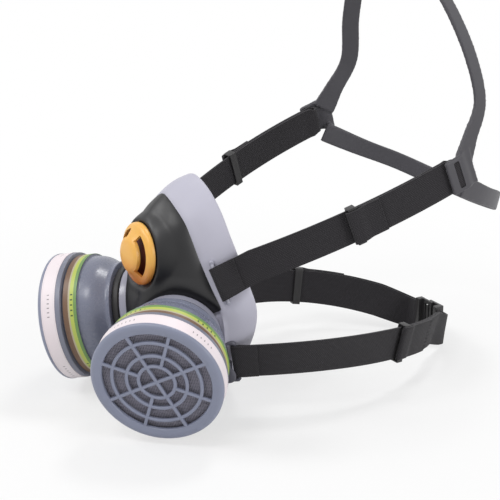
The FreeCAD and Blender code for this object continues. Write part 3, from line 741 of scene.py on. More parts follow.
def half_outline(corners, count):
    """Right half of an outline from top to chin, square to the middle line at both ends."""
    points = [Vector((x, z, 0)) for x, z in corners]
    before = Vector((-points[1].x, points[1].y, 0))
    after = Vector((-points[-2].x, points[-2].y, 0))
    line = through([before] + points + [after], 12)
    return evenly(line[12:-12], count)


def prow_table():
    line = through([Vector((forward, height, 0)) for forward, height in PROW], 12)
    return sorted(((p.y, p.x) for p in line), reverse=True)


def skin_rows(rows, columns):
    """Outer surface of the face piece: level slices from one rear edge to the other."""
    table = prow_table()
    made = []
    for edge in half_outline(REAR_EDGE, rows):
        half, z = max(edge.x, 0.0), edge.y
        reach = reading(table, z) - REAR
        facets = smoothstep(22.0, 2.0, z) * smoothstep(-58.0, -24.0, z)
        power = 2.0 / (mix(2.1, 1.42, facets) - 0.55 * smoothstep(40.0, 58.0, z))
        arc = []
        for step in range(121):
            turn = math.pi * step / 120
            side = math.copysign(abs(math.cos(turn)) ** power, math.cos(turn))
            arc.append(Vector((half * side, -REAR - reach * math.sin(turn) ** power, z)))
        made.append(evenly(arc, columns))
    return made


def hem_height(forward):
    """Height of the shell's lower edge at a place forward of the face."""
    run = forward - REAR
    return HEM_REAR - HEM_SLOPE * run - HEM_DROOP * run * run


def flattened(point, depth, recess):
    """Point on the untipped mask, drawn onto the flat pads round the vent and ports."""
    for place, pad in ((vent_frame(), VENT_PAD), (port_frame("left"), PORT_PAD),
                       (port_frame("right"), PORT_PAD)):
        local = (TILT.inverted() @ place).inverted() @ (point * MM) / MM
        radius = math.hypot(local.x, local.y)
        if abs(local.z) > PAD_REACH[1] or radius > pad[1]:
            continue
        goal = -depth
        if recess and pad is VENT_PAD:
            low = smoothstep(4.0, -13.0, local.y)
            goal += 0.7 * smoothstep(18.3, 19.3, radius) - 0.7
            goal += 1.5 * low * smoothstep(18.9, 20.6, radius) * (1 - smoothstep(20.8, 24.0, radius))
        share = (1 - smoothstep(*pad, radius)) * (1 - smoothstep(*PAD_REACH, abs(local.z)))
        local.z = mix(local.z, goal, share)
        point = (TILT.inverted() @ place) @ (local * MM) / MM
    return point


def stand_off(obj, amount):
    """Moves each corner along its normal by amount(corner), in millimetres."""
    shifts = [vertex.normal * amount(vertex.co) for vertex in obj.data.vertices]
    for vertex, shift in zip(obj.data.vertices, shifts):
        vertex.co += shift
    obj.data.update()


def face_forward(obj):
    """Turns the faces outward, judged at the foremost corner."""
    foremost = min(obj.data.vertices, key=lambda vertex: vertex.co.y)
    if foremost.normal.y > 0:
        in_edit(obj, bpy.ops.mesh.flip_normals)


def holes(port_radius, vent_radius):
    """Cutters for both ports' holes and the vent's, by their radii in millimetres."""
    spots = [(port_frame(word), port_radius, PORT_HOLE_DEPTH) for word, _ in SIDES]
    spots.append((vent_frame(), vent_radius, VENT_HOLE_DEPTH))
    return [plug(place, radius * MM, low * MM, high * MM) for place, radius, (low, high) in spots]


def to_world(obj):
    obj.data.transform(TILT @ Matrix.Scale(MM, 4))


def make_front_shell():
    sizes = settings().mask
    rows, columns = sizes.rows, sizes.columns
    skin = skin_rows(3 * rows, columns)
    last = []
    for column in range(columns + 1):
        row = next(i for i in range(rows, 3 * rows) if skin[i][column].z < hem_height(-skin[i][column].y))
        gaps = [skin[i][column].z - hem_height(-skin[i][column].y) for i in (row - 1, row)]
        last.append(row - 1 + gaps[0] / (gaps[0] - gaps[1]))

    def place(across, down):
        column = round(across * columns)
        row = min(last[column] * (1 - down), 3 * rows - 1.001)
        low = int(row)
        spot = skin[low][column].lerp(skin[low + 1][column], row - low)
        return flattened(spot, 0.1, True)

    shell = laid_grid("front_shell_moulded", columns, rows, place)
    in_edit(shell, lambda: bpy.ops.mesh.remove_doubles(threshold=0.01))
    with_modifier(shell, "SMOOTH", factor=0.5, iterations=2)
    face_forward(shell)
    to_world(shell)
    with_modifier(shell, "SOLIDIFY", thickness=sizes.shell_wall, offset=-1.0)
    cut(shell, *holes(19.4, 15.8))
    rounded(shell, sizes.edge, 2, 50.0)
    smooth(shell, 38.0)
    settle(shell, finish("shell"), "shell_black", "facepiece", "front_shell")


def rim_section(edge, rim, outward, sizes):
    """Points from the rear edge over the flange and rolled rim to the lip's free edge."""
    wall, roll, lip = sizes.seal_wall / MM, sizes.rim_roll / MM, sizes.seal_lip / MM
    covered = smoothstep(-5.0, 4.0, edge.z)
    start = edge + outward * mix(-0.2, 0.75, covered) + Vector((0, 0.4, 0))
    centre = rim - outward * roll - Vector((0, roll, 0))
    points = []
    for step in range(9):
        share = step / 9
        bulge = outward * (1.3 * math.sin(math.pi * share))
        points.append(start.lerp(centre + outward * roll, share) + bulge)
    for step in range(7):
        turn = math.pi / 2 * step / 6
        points.append(centre + outward * (roll * math.cos(turn)) + Vector((0, roll * math.sin(turn), 0)))
    for step in range(1, 7):
        share = step / 6
        points.append(centre + Vector((0, roll - 1.6 * share * share, 0)) - outward * (lip * share))
    return points


def make_face_seal():
    sizes = settings().mask
    rows, columns = sizes.rows, sizes.columns
    skin = skin_rows(rows, columns)
    faces = half_outline(FACE_RIM, rows)
    edges = half_outline(REAR_EDGE, rows)
    sections = []
    for i in range(rows + 1):
        ahead, behind = faces[min(i + 1, rows)], faces[max(i - 1, 0)]
        run = ahead - behind
        outward = Vector((-run.y, 0, run.x)).normalized()
        if i in (0, rows):
            outward = Vector((0, 0, 1 if i == 0 else -1))
        edge = Vector((max(edges[i].x, 0), -REAR, edges[i].y))
        rim = Vector((max(faces[i].x, 0), NOSE_DRAW * smoothstep(*NOSE_HEIGHTS, faces[i].y), faces[i].y))
        sections.append(rim_section(edge, rim, outward, sizes))
    side = len(sections[0])
    total = 2 * side + columns + 1

    def place(across, down):
        row = round((1 - down) * rows)
        column = round(across * (total - 1))
        if column < side:
            return sections[row][side - 1 - column]
        if column >= side + columns + 1:
            point = sections[row][column - side - columns - 1]
            return Vector((-point.x, point.y, point.z))
        return skin[row][column - side]

    seal = laid_grid("face_seal_soft", total - 1, rows, place)
    in_edit(seal, lambda: bpy.ops.mesh.remove_doubles(threshold=0.02))
    face_forward(seal)

    def tuck(spot):
        """How far the seal lies under the surface: deep beneath the shell, level below it."""
        under = smoothstep(-3.0, -0.5, spot.z - hem_height(-spot.y))
        ahead = smoothstep(REAR + 0.2, REAR + 1.2, -spot.y)
        return -SEAL_DEPTH * under * ahead

    stand_off(seal, tuck)
    for vertex in seal.data.vertices:
        if -vertex.co.y > REAR + 1.0:
            under = smoothstep(-3.0, -0.5, vertex.co.z - hem_height(-vertex.co.y))
            vertex.co = flattened(vertex.co, mix(0.15, SEAL_DEPTH, under), False)
    with_modifier(seal, "SMOOTH", factor=0.4, iterations=2)
    to_world(seal)
    with_modifier(seal, "SOLIDIFY", thickness=sizes.seal_wall, offset=-1.0)
    cut(seal, *holes(19.3, 16.0))
    smooth(seal, 50.0)
    settle(seal, finish("seal"), "seal_grey", "facepiece", "face_seal")


def make_lower_frame():
    """Frame under the ports: the CAD bar and carriers run together into one soft moulding."""
    bar = copied("lower_frame", "lower_frame_moulded")
    ears = []
    for word, side in SIDES:
        bpy.ops.mesh.primitive_uv_sphere_add(segments=32, ring_count=16, radius=1)
        ear = bpy.context.object
        place = axes_at(on_mask(35.0 * side, 20.0, -41.5), (0, 0, 1), on_mask(0.62 * side, 0.78, 0))
        ear.data.transform(place @ Matrix.Diagonal((*(EAR_SIZE * MM), 1)))
        ears.append(ear)
    bar = joined("lower_frame_moulded", [bar] + ears)
    with_modifier(bar, "REMESH", mode="VOXEL", voxel_size=FRAME_VOXEL * MM)
    with_modifier(bar, "SMOOTH", factor=0.5, iterations=7)
    smooth(bar, 60.0)
    settle(bar, finish("frame"), "frame_grey", "facepiece", "lower_frame")


# ---------------------------------------------------------------- exhalation valve
# The cover's two slots: section as (radius, height), sweep and starts in degrees.
COVER_SLOT = [(10.3, 2.2), (14.7, 2.2), (14.7, 11.0), (10.3, 11.0)]
COVER_SLOT_SWEEP = 112.0
COVER_SLOT_STARTS = (-50.0, 106.0)


def make_exhale_vent():
    vent = vent_frame()
    outer = [(17.9, 0), (17.9, 1.6), (17.7, 2.3), (17.1, 3.1), (16.2, 3.7), (15.0, 4.3), (13.6, 5.1),
             (12.0, 6.3), (10.6, 7.5), (9.6, 8.3), (8.6, 8.9), (7.4, 9.25), (5.0, 9.5), (2.5, 9.6)]
    inner = [(2.5, 8.2), (6.6, 7.9), (8.8, 7.0), (11.0, 5.0), (13.4, 3.4), (16.2, 2.0), (16.4, 0)]
    profile = [(0, 9.62)] + outer[::-1] + inner[::-1] + [(0, 8.25)]
    cover = spun("exhale_cover_moulded", profile, vent)
    for start in COVER_SLOT_STARTS:
        cut(cover, spun("slot", COVER_SLOT, vent, COVER_SLOT_SWEEP, start, 44))
    rounded(cover, 0.3 * MM, 2, 45.0)
    smooth(cover, 35.0)
    settle(cover, finish("cover"), "cover_orange", "vent_cover", "exhale_cover")
    seat = softened("exhale_seat", 0.2 * MM)
    settle(seat, finish("seat"), "seat_black", "facepiece", "exhale_seat")
    coat("exhale_valve", finish("valve"))


# ---------------------------------------------------------------- ports and filters
def make_ports():
    for word, _ in SIDES:
        ring = softened("inlet_port_" + word, 0.45 * MM, 3)
        settle(ring, finish("port"), "port_grey", "facepiece", "inlet_port_" + word)
        coat("inhale_valve_" + word, finish("valve"))


# Bayonet gates in the canister's neck, and the grille's hoops and spokes, in the port's frame.
GATE_SIZE, GATE_MIDDLE = Vector((9.2, 6.0, 5.0)), Vector((0, 18.6, 10.5))
GRILLE_TURN, SPOKES, SPOKE_DEPTH, SPOKE_HEIGHT = 19.5, 8, 1.7, 49.4
HOOP_SHARES, HOOP_LOW, HOOP_HIGH = (0.25, 0.43, 0.65), 48.6, 50.35


def make_canister(word):
    """Gas filter body: neck, rounded shoulder, label land and open mouth."""
    sizes = settings().filters
    neck, body = sizes.neck / MM, sizes.body / MM
    shoulder = [(neck + 0.5, 11.4), (neck + 0.9, 12.6), (neck + 2.4, 15.0), (neck + 4.4, 18.2),
                (neck + 5.6, 21.6), (body, 25.4), (body + 0.1, 26.9)]
    lip = [(neck + 0.4, 9.05), (neck + 1.2, 9.4), (neck + 1.2, 10.2), (neck + 0.5, 10.8)]
    outside = lip + [(p.x, p.y) for p in through([Vector((*corner, 0)) for corner in shoulder], 5)]
    outside += [(34.9, 26.95), (34.9, 35.3), (34.7, 35.5)]
    inside = [(33.2, 35.5), (33.1, 27.2), (31.2, 20.5), (27.0, 14.5), (25.6, 11.6), (19.1, 11.6)]
    profile = [(sizes.bore / MM, 9.05)] + outside + inside
    place = port_frame(word)
    made = spun("canister_body_" + word, profile, place)
    gates = []
    for turn in (0, 120, 240):
        bpy.ops.mesh.primitive_cube_add(size=1)
        gate = bpy.context.object
        gate.data.transform(Matrix.Diagonal((*(GATE_SIZE * MM), 1)))
        gate.data.transform(Matrix.Translation(GATE_MIDDLE * MM))
        gate.data.transform(place @ Matrix.Rotation(math.radians(turn + 45), 4, "Z"))
        gates.append(gate)
    cut(made, *gates)
    rounded(made, 0.25 * MM, 2, 50.0)
    smooth(made, 32.0)
    settle(made, finish("canister"), "canister_grey", "cartridge_" + word, "canister_" + word)


def make_grille(word, side):
    """Front ring with rounded rims, three hoops and eight spokes."""
    sizes = settings().filters
    ring, hole, rib = sizes.ring / MM, sizes.opening / MM, sizes.rib / MM
    place = port_frame(word) @ Matrix.Rotation(math.radians(side * GRILLE_TURN), 4, "Z")
    rim = [(hole, 48.45), (ring, 48.45), (ring, 49.4), (ring - 0.35, 50.1), (ring - 1.1, 50.7),
           (ring - 2.2, 51.0), (ring - 3.4, 50.95), (ring - 4.4, 50.7), (hole + 1.2, 50.45),
           (hole + 0.35, 50.2), (hole, 49.7)]
    parts = [spun("rim", rim, place)]
    low, high = HOOP_LOW, HOOP_HIGH
    for share in HOOP_SHARES:
        near = share * ring
        hoop = [(near + 0.1, low), (near + rib - 0.1, low), (near + rib, high - 0.5),
                (near + rib - 0.5, high), (near + 0.5, high), (near, high - 0.5)]
        parts.append(spun("hoop", hoop, place, steps=96))
    for number in range(SPOKES):
        near = 0.0 if number % 2 == 0 else HOOP_SHARES[0] * ring + 0.6
        run = hole + 0.6 - near
        bpy.ops.mesh.primitive_cube_add(size=1)
        spoke = bpy.context.object
        spoke.data.transform(Matrix.Diagonal((run * MM, rib * MM, SPOKE_DEPTH * MM, 1)))
        spoke.data.transform(Matrix.Translation(((near + run / 2) * MM, 0, SPOKE_HEIGHT * MM)))
        rounded(spoke, 0.45 * MM, 2, 60.0)
        spoke.data.transform(place @ Matrix.Rotation(math.radians(360.0 / SPOKES * number), 4, "Z"))
        parts.append(spoke)
    grille = joined("grille_moulded_" + word, parts)
    smooth(grille, 35.0)
    settle(grille, finish("grille"), "grille_grey", "cartridge_" + word, "grille_" + word)


def make_filters():
    for word, side in SIDES:
        body = "cartridge_" + word
        make_canister(word)
        make_grille(word, side)
        gasket = softened("port_gasket_" + word, 0.7 * MM, 3)
        settle(gasket, finish("gasket"), "gasket_black", body, "port_gasket_" + word)
        housing = softened("particle_housing_" + word, 0.35 * MM)
        settle(housing, finish("housing"), "housing_grey", body, "particle_housing_" + word)
        coat("gas_label_" + word, finish("gas_" + word))
        coat("particle_label_" + word, finish("paper_" + word))
        coat("pleated_disc_" + word, finish("media_" + word))
        coat("sorbent_bed_" + word, finish("grains"))
        for screen in ("rear_screen_", "front_screen_"):
            coat(screen + word, finish("screen"))


# ---------------------------------------------------------------- straps
# Angles along each strap's arc, in degrees, from its widest point.
WIDEST = {"upper": (0.994, -0.030, 0.100), "lower": (0.976, 0.020, 0.220)}
RADIUS = {"upper": 280.6, "lower": 109.1}
SLIDER = {"upper": -12.2, "lower": 16.2}
SEAM = {"upper": -8.0, "lower": 34.0}
UPPER_FRONT, UPPER_TIE, UPPER_STEP = -24.3, 1.4, 0.6
LOWER_TIE, LOWER_BACK, LOWER_STEP = -38.8, 46.0, 1.4
UPPER_FOLD = UPPER_TIE + 0.7
NAPE = Vector((0, 160.0, -56.0))
# Offsets from the arc in millimetres: both plies, and the spread where they meet a bar.
INNER_PLY, OUTER_PLY, BAR_SPREAD = -0.65, 1.05, 1.2
# A slider's length, how far its outside stands off the plies, and the room in its window.
SLIDER_LENGTH, SLIDER_OUTSIDE = 5.0, 1.4
PLY_ROOM = {"upper": 0.3, "lower": 0.55}
CUFF_CLEAR = 3.4


def degrees_per_mm(kind):
    return math.degrees(1 / RADIUS[kind])


def lug_bar(side):
    """Middle of the upper lug's bar."""
    return on_mask(41.4 * side, 15.8, 18.0)


def arc_frame(kind, side, turn):
    """Frame at a strap arc's centre, its X axis turned to an angle along the arc."""
    word = "left" if side > 0 else "right"
    joint = JOINTS[kind + "_adjust_" + word]
    across, forward, up = WIDEST[kind]
    base = axes_at(joint["pos_m"], (across * side, forward, up), joint["axis"])
    return base @ Matrix.Rotation(math.radians(turn), 4, "Z")


def arc_spot(kind, side, turn, offset=0.0, rise=0.0):
    """World point at an angle along a strap's arc, in metres; rise is upward on both sides."""
    lean = 0.0 if kind == "upper" else mix(0.6, 0.36, smoothstep(-26.0, 12.0, turn))
    local = Vector((RADIUS[kind] + offset + lean * rise, 0, rise * side)) * MM
    return arc_frame(kind, side, turn) @ local


def station(kind, side, turn, offset):
    """Middle of the webbing at an angle, and half its width as a vector upward."""
    half = settings().straps.width / MM / 2
    middle = arc_spot(kind, side, turn, offset)
    return middle, arc_spot(kind, side, turn, offset, half) - middle


def round_bar(centre, back, out, half, radius, start, end, steps=10):
    """Stations round a bar, angles measured from the way out over the front of the bar."""
    made = []
    for step in range(steps + 1):
        turn = math.radians(mix(start, end, step / steps))
        made.append((centre + out * (radius * math.cos(turn)) - back * (radius * math.sin(turn)), half))
    return made


def ribbon(name, stations, thickness, columns=10):
    """Strip of webbing along stations of (middle, half width vector), closed and thick."""
    rows = len(stations) - 1

    def place(across, down):
        middle, half = stations[round(down * rows)]
        return middle + half * (across * 2 - 1)

    strip = laid_grid(name, columns, rows, place)
    runs = [0.0]
    for (a, _), (b, _) in zip(stations, stations[1:]):
        runs.append(runs[-1] + (b - a).length)
    layer = strip.data.uv_layers.active.data
    wide = stations[0][1].length * 2
    for loop, spot in zip(strip.data.loops, layer):
        row = round(spot.uv.y * rows)
        spot.uv = ((spot.uv.x - 0.5) * wide * 100, runs[row] * 100)
    with_modifier(strip, "SOLIDIFY", thickness=thickness, offset=0.0, use_even_offset=True)
    in_edit(strip, face_out)
    return strip


def stitch_row(middle, half, normal, count=9, inset=0.86):
    """A row of thread stitches across the webbing, each a short rounded bead."""
    way = half.normalized()
    span = half.length * inset
    made = []
    for number in range(count):
        bpy.ops.mesh.primitive_uv_sphere_add(segments=8, ring_count=6, radius=1)
        bead = bpy.context.object
        spot = middle + way * mix(-span, span, number / (count - 1))
        place = axes_at(spot, way, normal)
        bead.data.transform(place @ Matrix.Diagonal((span / count * 0.72, 0.28 * MM, 0.2 * MM, 1)))
        made.append(bead)
    return made


def upper_stations(side):
    """Path of the upper strap: sewn end, lug bar, head side, yoke bar and back to the slider."""
    straps = settings().straps
    loop, ply = straps.bar_loop, straps.ply
    bar = lug_bar(side)
    half_first = on_mask(-0.475 * side, 0, 0.880).normalized() * (straps.width / 2)
    front, half_last = station("upper", side, UPPER_FRONT, INNER_PLY)
    back = (front - bar).normalized()
    out = half_first.cross(back).normalized()
    if out.x * side < 0:
        out = -out
    reach = (front - bar).length
    made = []
    for share in (1.0, 0.75, 0.5, 0.25):
        run = straps.sewn * share
        lift = mix(loop, 0.75 * MM, smoothstep(0.0, 1.0, share))
        half = half_first.lerp(half_last, smoothstep(0.0, 1.0, run / reach))
        made.append((bar + back * run + out * lift, half))
    made += round_bar(bar, back, out, half_first, loop, 0, 180)
    for step in range(1, 7):
        share = step / 7
        drop = mix(loop, 0.0, smoothstep(0.0, 0.9, share))
        half = half_first.lerp(half_last, smoothstep(0.0, 1.0, share))
        made.append((bar + back * (reach * share) - out * drop, half))
    tie_run = 6 * degrees_per_mm("upper")
    turn = UPPER_FRONT
    while turn < UPPER_FOLD - 0.02:
        spread = BAR_SPREAD * smoothstep(UPPER_FOLD - tie_run, UPPER_FOLD, turn)
        made.append(station("upper", side, turn, INNER_PLY - spread))
        turn += UPPER_STEP
    made += yoke_fold(side, loop)
    turn = UPPER_FOLD - 0.1
    while turn > SLIDER["upper"] + 0.4:
        spread = BAR_SPREAD * smoothstep(UPPER_FOLD - tie_run, UPPER_FOLD, turn)
        made.append(station("upper", side, turn, OUTER_PLY + spread))
        turn -= UPPER_STEP
    return made


def yoke_fold(side, loop):
    """Stations round the yoke's bar, from the inner ply to the outer one."""
    centre, half = station("upper", side, UPPER_FOLD, 0.2)
    half = half * 0.84
    out = (arc_spot("upper", side, UPPER_FOLD, 1.2) - centre).normalized()
    ahead = (arc_spot("upper", side, UPPER_FOLD + 1, 0.2) - centre).normalized()
    return round_bar(centre, -ahead, out, half, loop, 180, 0)


def lower_stations(side):
    """Path of the lower strap: sewn end, frame bar, nape clasp and back to the slider."""
    straps = settings().straps
    loop = straps.bar_loop
    centre, half = station("lower", side, LOWER_TIE, 0.2)
    out = (arc_spot("lower", side, LOWER_TIE, 1.2) - centre).normalized()
    back = (arc_spot("lower", side, LOWER_TIE + 1, 0.2) - centre).normalized()
    sewn = straps.sewn / MM * degrees_per_mm("lower")
    made = []
    for share in (1.0, 0.8, 0.6, 0.4, 0.2):
        offset = mix(2.25, 0.75, smoothstep(0.0, 1.0, share))
        made.append(station("lower", side, LOWER_TIE + sewn * share, offset))
    made += round_bar(centre, back, out, half, loop, 0, 180)
    turn = LOWER_TIE + 0.8
    while turn < LOWER_BACK + 0.1:
        spread = BAR_SPREAD * (1 - smoothstep(LOWER_TIE, LOWER_TIE + 4.0, turn))
        made.append(station("lower", side, turn, INNER_PLY - spread))
        turn += LOWER_STEP
    gap = straps.ply / MM
    made += nape_run(side, made[-1], -gap / 2)
    outer = station("lower", side, LOWER_BACK, OUTER_PLY)
    made += list(reversed(nape_run(side, outer, gap / 2)))
    turn = LOWER_BACK
    while turn > SLIDER["lower"] + 1.0:
        made.append(station("lower", side, turn, OUTER_PLY))
        turn -= LOWER_STEP
    return made


def nape_run(side, start, away):
    """Stations from the end of the lower arc to the nape clasp's socket."""
    middle, half = start
    goal = (NAPE + Vector((10.2 * side, -1.4 + away, 0))) * MM
    goal_half = Vector((0, 0, settings().straps.width / 2))
    approach = goal + Vector((9.0 * side, -2.6, 0)) * MM
    points = through([arc_spot("lower", side, LOWER_BACK - 4, away), middle, approach, goal], 6)[7:]
    made = []
    for number, point in enumerate(points):
        share = smoothstep(0.0, 1.0, (number + 1) / len(points))
        made.append((point, half.lerp(goal_half, share)))
    return made


def cuff(kind, word, side):
    """Ply folded back over a slider and sewn down behind it."""
    straps = settings().straps
    name = kind + "_cuff_" + word
    slider, seam, degree = SLIDER[kind], SEAM[kind], degrees_per_mm(kind)
    high, low = CUFF_CLEAR + 0.75, 2.45
    stations = [station(kind, side, slider - 0.9 * degree, 2.2),
                station(kind, side, slider - 1.1 * degree, 3.2),
                station(kind, side, slider - 0.7 * degree, high - 0.3),
                station(kind, side, slider + 0.3 * degree, high)]
    turn = slider + 1.6 * degree
    while turn < seam:
        drop = smoothstep(slider + 5 * degree, slider + 10 * degree, turn)
        stations.append(station(kind, side, turn, mix(high, low, drop)))
        turn += 1.8 * degree
    made = ribbon(name, stations, straps.thickness * 0.9)
    out = (station(kind, side, seam, low + 1)[0] - station(kind, side, seam, low)[0]).normalized()
    beads = []
    for step in (0.0, 1.6):
        spot, half = station(kind, side, seam - (2.0 + step) * degree, low + 0.6)
        beads += stitch_row(spot, half, out)
    fold = edged(joined(name, [made] + beads))
    settle(fold, finish("webbing"), "webbing_black", kind + "_adjuster_" + word)


def edged(strip):
    """Rounds and smooths the cut edges of a piece of webbing."""
    return smooth(rounded(strip, 0.22 * MM, 2, 60.0), 50.0)


def slab_on_arc(name, kind, side, start, end, low, high, half):
    """Block lying on a strap's arc, between two angles and two offsets."""
    def place(across, down):
        return arc_spot(kind, side, mix(start, end, down), (low + high) / 2, half * (across * 2 - 1))

    block = laid_grid(name, 8, 4, place)
    long = math.radians(end - start) * RADIUS[kind] / 10
    for spot in block.data.uv_layers.active.data:
        spot.uv = ((spot.uv.x - 0.5) * half / 5, spot.uv.y * long)
    with_modifier(block, "SOLIDIFY", thickness=(high - low) * MM, offset=0.0)
    in_edit(block, face_out)
    return block


def make_slider(kind, word, side):
    """Flat frame that both plies of a strap pass through."""
    straps = settings().straps
    degree, room, stand = degrees_per_mm(kind), PLY_ROOM[kind], SLIDER_OUTSIDE
    start = SLIDER[kind]
    end = start + SLIDER_LENGTH * degree
    low, high, half = -straps.thickness / MM, straps.ply / MM, straps.width / MM / 2
    name = kind + "_slider_" + word
    frame_outside = slab_on_arc(name + "_moulded", kind, side, start, end, low - stand, high + stand,
                                half + stand)
    window = slab_on_arc("window", kind, side, start - 2 * degree, end + 2 * degree, low - room,
                         high + room, half + room)
    cut(frame_outside, window)
    rounded(frame_outside, 0.4 * MM, 3, 50.0)
    smooth(frame_outside, 40.0)
    settle(frame_outside, finish("slider"), "slider_black", kind + "_adjuster_" + word, name)


def make_upper_straps():
    for word, side in SIDES:
        path = upper_stations(side)
        strap = ribbon("upper_webbing_" + word, path, settings().straps.thickness)
        (first, half), (second, _) = path[0], path[1]
        out = half.cross(second - first).normalized()
        out = out if out.x * side > 0 else -out
        beads = []
        for share in (0.12, 0.30):
            spot = first.lerp(second, share * 2)
            beads += stitch_row(spot + out * 0.62 * MM, half, out)
        strap = edged(joined("upper_webbing_" + word, [strap] + beads))
        settle(strap, finish("webbing"), "webbing_black", None, "upper_strap_" + word,
               "upper_return_" + word, "upper_fold_" + word, "upper_end_loop_" + word)
        start, end = lug_bar(side), arc_spot("upper", side, -15.5)
        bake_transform(strap)
        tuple(start)
        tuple(end)
        cuff("upper", word, side)
        make_slider("upper", word, side)
        lug = softened("upper_lug_" + word, 0.3 * MM)
        settle(lug, finish("lug"), "lug_grey", "facepiece", "upper_lug_" + word)


def make_lower_straps():
    for word, side in SIDES:
        strap = edged(ribbon("lower_webbing_" + word, lower_stations(side), settings().straps.thickness))
        body = "facepiece" if side < 0 else None
        settle(strap, finish("webbing"), "webbing_black", body, "lower_strap_" + word,
               "lower_return_" + word, "lower_end_" + word, "lower_end_loop_" + word)
        if side > 0:
            start = arc_spot("lower", side, LOWER_BACK - 6)
            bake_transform(strap)
        cuff("lower", word, side)
        make_slider("lower", word, side)


# ---------------------------------------------------------------- yoke and clasp
CROWN = [(71.5, 123, 72), (69.3, 129, 84.5), (65.5, 138, 104), (58.5, 134, 132), (42.5, 128, 160),
         (20, 124.5, 178), (0, 123.5, 183)]
BEHIND = [(71.5, 124, 57), (63, 146.5, 45.8), (50, 166, 37), (33, 180.5, 29), (15, 187.5, 25),
          (0, 189, 24)]
HEAD_MIDDLE, HEAD_HALVES = Vector((0, 100, 68)), Vector((74, 92, 115))
YOKE_VOXEL = 0.62
# Angles along the strap's arc where the plate, its slot and the webbing's tab start and end.
PLATE_ENDS, SLOT_ENDS, TAB_ENDS = (0.75, 4.9), (1.8, 2.6), (1.7, 2.72)


def yoke_band(name, half_path, flare):
    """Flat band on the head through a half path and its mirror image, wider at its plates."""
    straps = settings().straps
    left = [Vector(p) for p in half_path]
    line = through(left + [Vector((-p.x, p.y, p.z)) for p in reversed(left[:-1])], 8)
    stations = []
    for i, point in enumerate(line):
        run = (line[min(i + 1, len(line) - 1)] - line[max(i - 1, 0)]).normalized()
        out = Vector([(p - m) / (h * h) for p, m, h in zip(point, HEAD_MIDDLE, HEAD_HALVES)])
        out = (out - run * out.dot(run)).normalized()
        lifted = (point + out * (straps.yoke_thickness / MM / 2)) * MM
        ends = min(i, len(line) - 1 - i)
        wide = straps.yoke_width * (1 + flare * (1 - smoothstep(0, 13, ends)))
        stations.append((lifted, run.cross(out) * (wide / 2)))
    return ribbon(name, stations, straps.yoke_thickness, 6)


def yoke_plate(side):
    """Plate where both bands meet, raised over the strap's fold and slotted for it."""
    start, end = PLATE_ENDS

    def place(across, down):
        turn = mix(start, end, down)
        offset = mix(4.0, 0.9, smoothstep(2.8, 4.4, turn))
        tall = mix(10.3, 11.0, smoothstep(1.5, end, turn)) - 0.8 * (1 - smoothstep(start, 1.1, turn))
        return arc_spot("upper", side, turn, offset, tall * (across * 2 - 1))

    plate = laid_grid("plate", 12, 16, place)
    with_modifier(plate, "SOLIDIFY", thickness=settings().straps.yoke_thickness, offset=0.0)
    in_edit(plate, face_out)
    return plate


def yoke_slot(side):
    """Cutter for the slot behind the plate's front bar."""
    def place(across, down):
        return arc_spot("upper", side, mix(*SLOT_ENDS, down), 5.0, mix(-8.0, 8.0, across))

    cutter = laid_grid("slot", 6, 4, place)
    with_modifier(cutter, "SOLIDIFY", thickness=9 * MM, offset=0.0)
    in_edit(cutter, face_out)
    return rounded(cutter, 1.0 * MM, 3, 60.0)


def make_crown_yoke():
    parts = [yoke_band("crown", CROWN, 0.35), yoke_band("behind", BEHIND, 0.15)]
    parts += [yoke_plate(side) for _, side in SIDES]
    yoke = joined("crown_yoke_moulded", parts)
    with_modifier(yoke, "REMESH", mode="VOXEL", voxel_size=YOKE_VOXEL * MM)
    with_modifier(yoke, "SMOOTH", factor=0.5, iterations=9)
    cut(yoke, *[yoke_slot(side) for _, side in SIDES])
    smooth(yoke, 45.0)
    settle(yoke, finish("yoke"), "yoke_rubber", "harness", "crown_yoke")
    for word, side in SIDES:
        tab = slab_on_arc("upper_tab_" + word, "upper", side, *TAB_ENDS, 2.3, 4.6, 7.9)
        smooth(rounded(tab, 0.5 * MM, 3, 50.0), 50.0)
        settle(tab, finish("webbing"), "webbing_black", "harness")


def make_nape_clasp():
    for node, body in (("nape_loop", "facepiece"), ("nape_hook", "nape_release")):
        plate = softened(node, 0.4 * MM, 3)
        settle(plate, finish("clasp"), "clasp_black", body, node)


# ---------------------------------------------------------------- stage
CAMERA_PLACE = Vector((0.7671, -0.4331, 0.3189))
CAMERA_AIM = Vector((0.0, 0.0249, 0.0144))
CAMERA_LENS = 115.24
WORLD_STRENGTH = 0.42
FLOOR_FADE = (("From Min", 0.12), ("From Max", 0.42), ("To Min", 0.62))
# Name, place, diameter in metres and power in watts.
LAMPS = (("key", (0.27, -0.68, 1.1), 0.4, 3.9), ("side", (1.1, 0.58, 0.42), 0.42, 4.4),
         ("far", (-0.42, -0.8, 0.93), 0.5, 4.8), ("top", (-0.22, 0.46, 1.08), 0.3, 3.4))


def plain_white(tree, output, strength):
    """White where the camera or a reflection looks, and plain light elsewhere."""
    path = tree.nodes.new("ShaderNodeLightPath")
    seen = path.outputs["Is Camera Ray"]
    for ray in ("Is Glossy Ray", "Is Transmission Ray"):
        either = tree.nodes.new("ShaderNodeMath")
        either.operation = "MAXIMUM"
        tree.links.new(seen, either.inputs[0])
        tree.links.new(path.outputs[ray], either.inputs[1])
        seen = either.outputs[0]
    lit, white = tree.nodes.new("ShaderNodeBackground"), tree.nodes.new("ShaderNodeBackground")
    lit.inputs["Strength"].default_value = strength
    white.inputs["Strength"].default_value = 1.0
    for shade in (lit, white):
        shade.inputs["Color"].default_value = (1, 1, 1, 1)
    chosen = tree.nodes.new("ShaderNodeMixShader")
    tree.links.new(seen, chosen.inputs[0])
    tree.links.new(lit.outputs[0], chosen.inputs[1])
    tree.links.new(white.outputs[0], chosen.inputs[2])
    tree.links.new(chosen.outputs[0], output.inputs["Surface"])


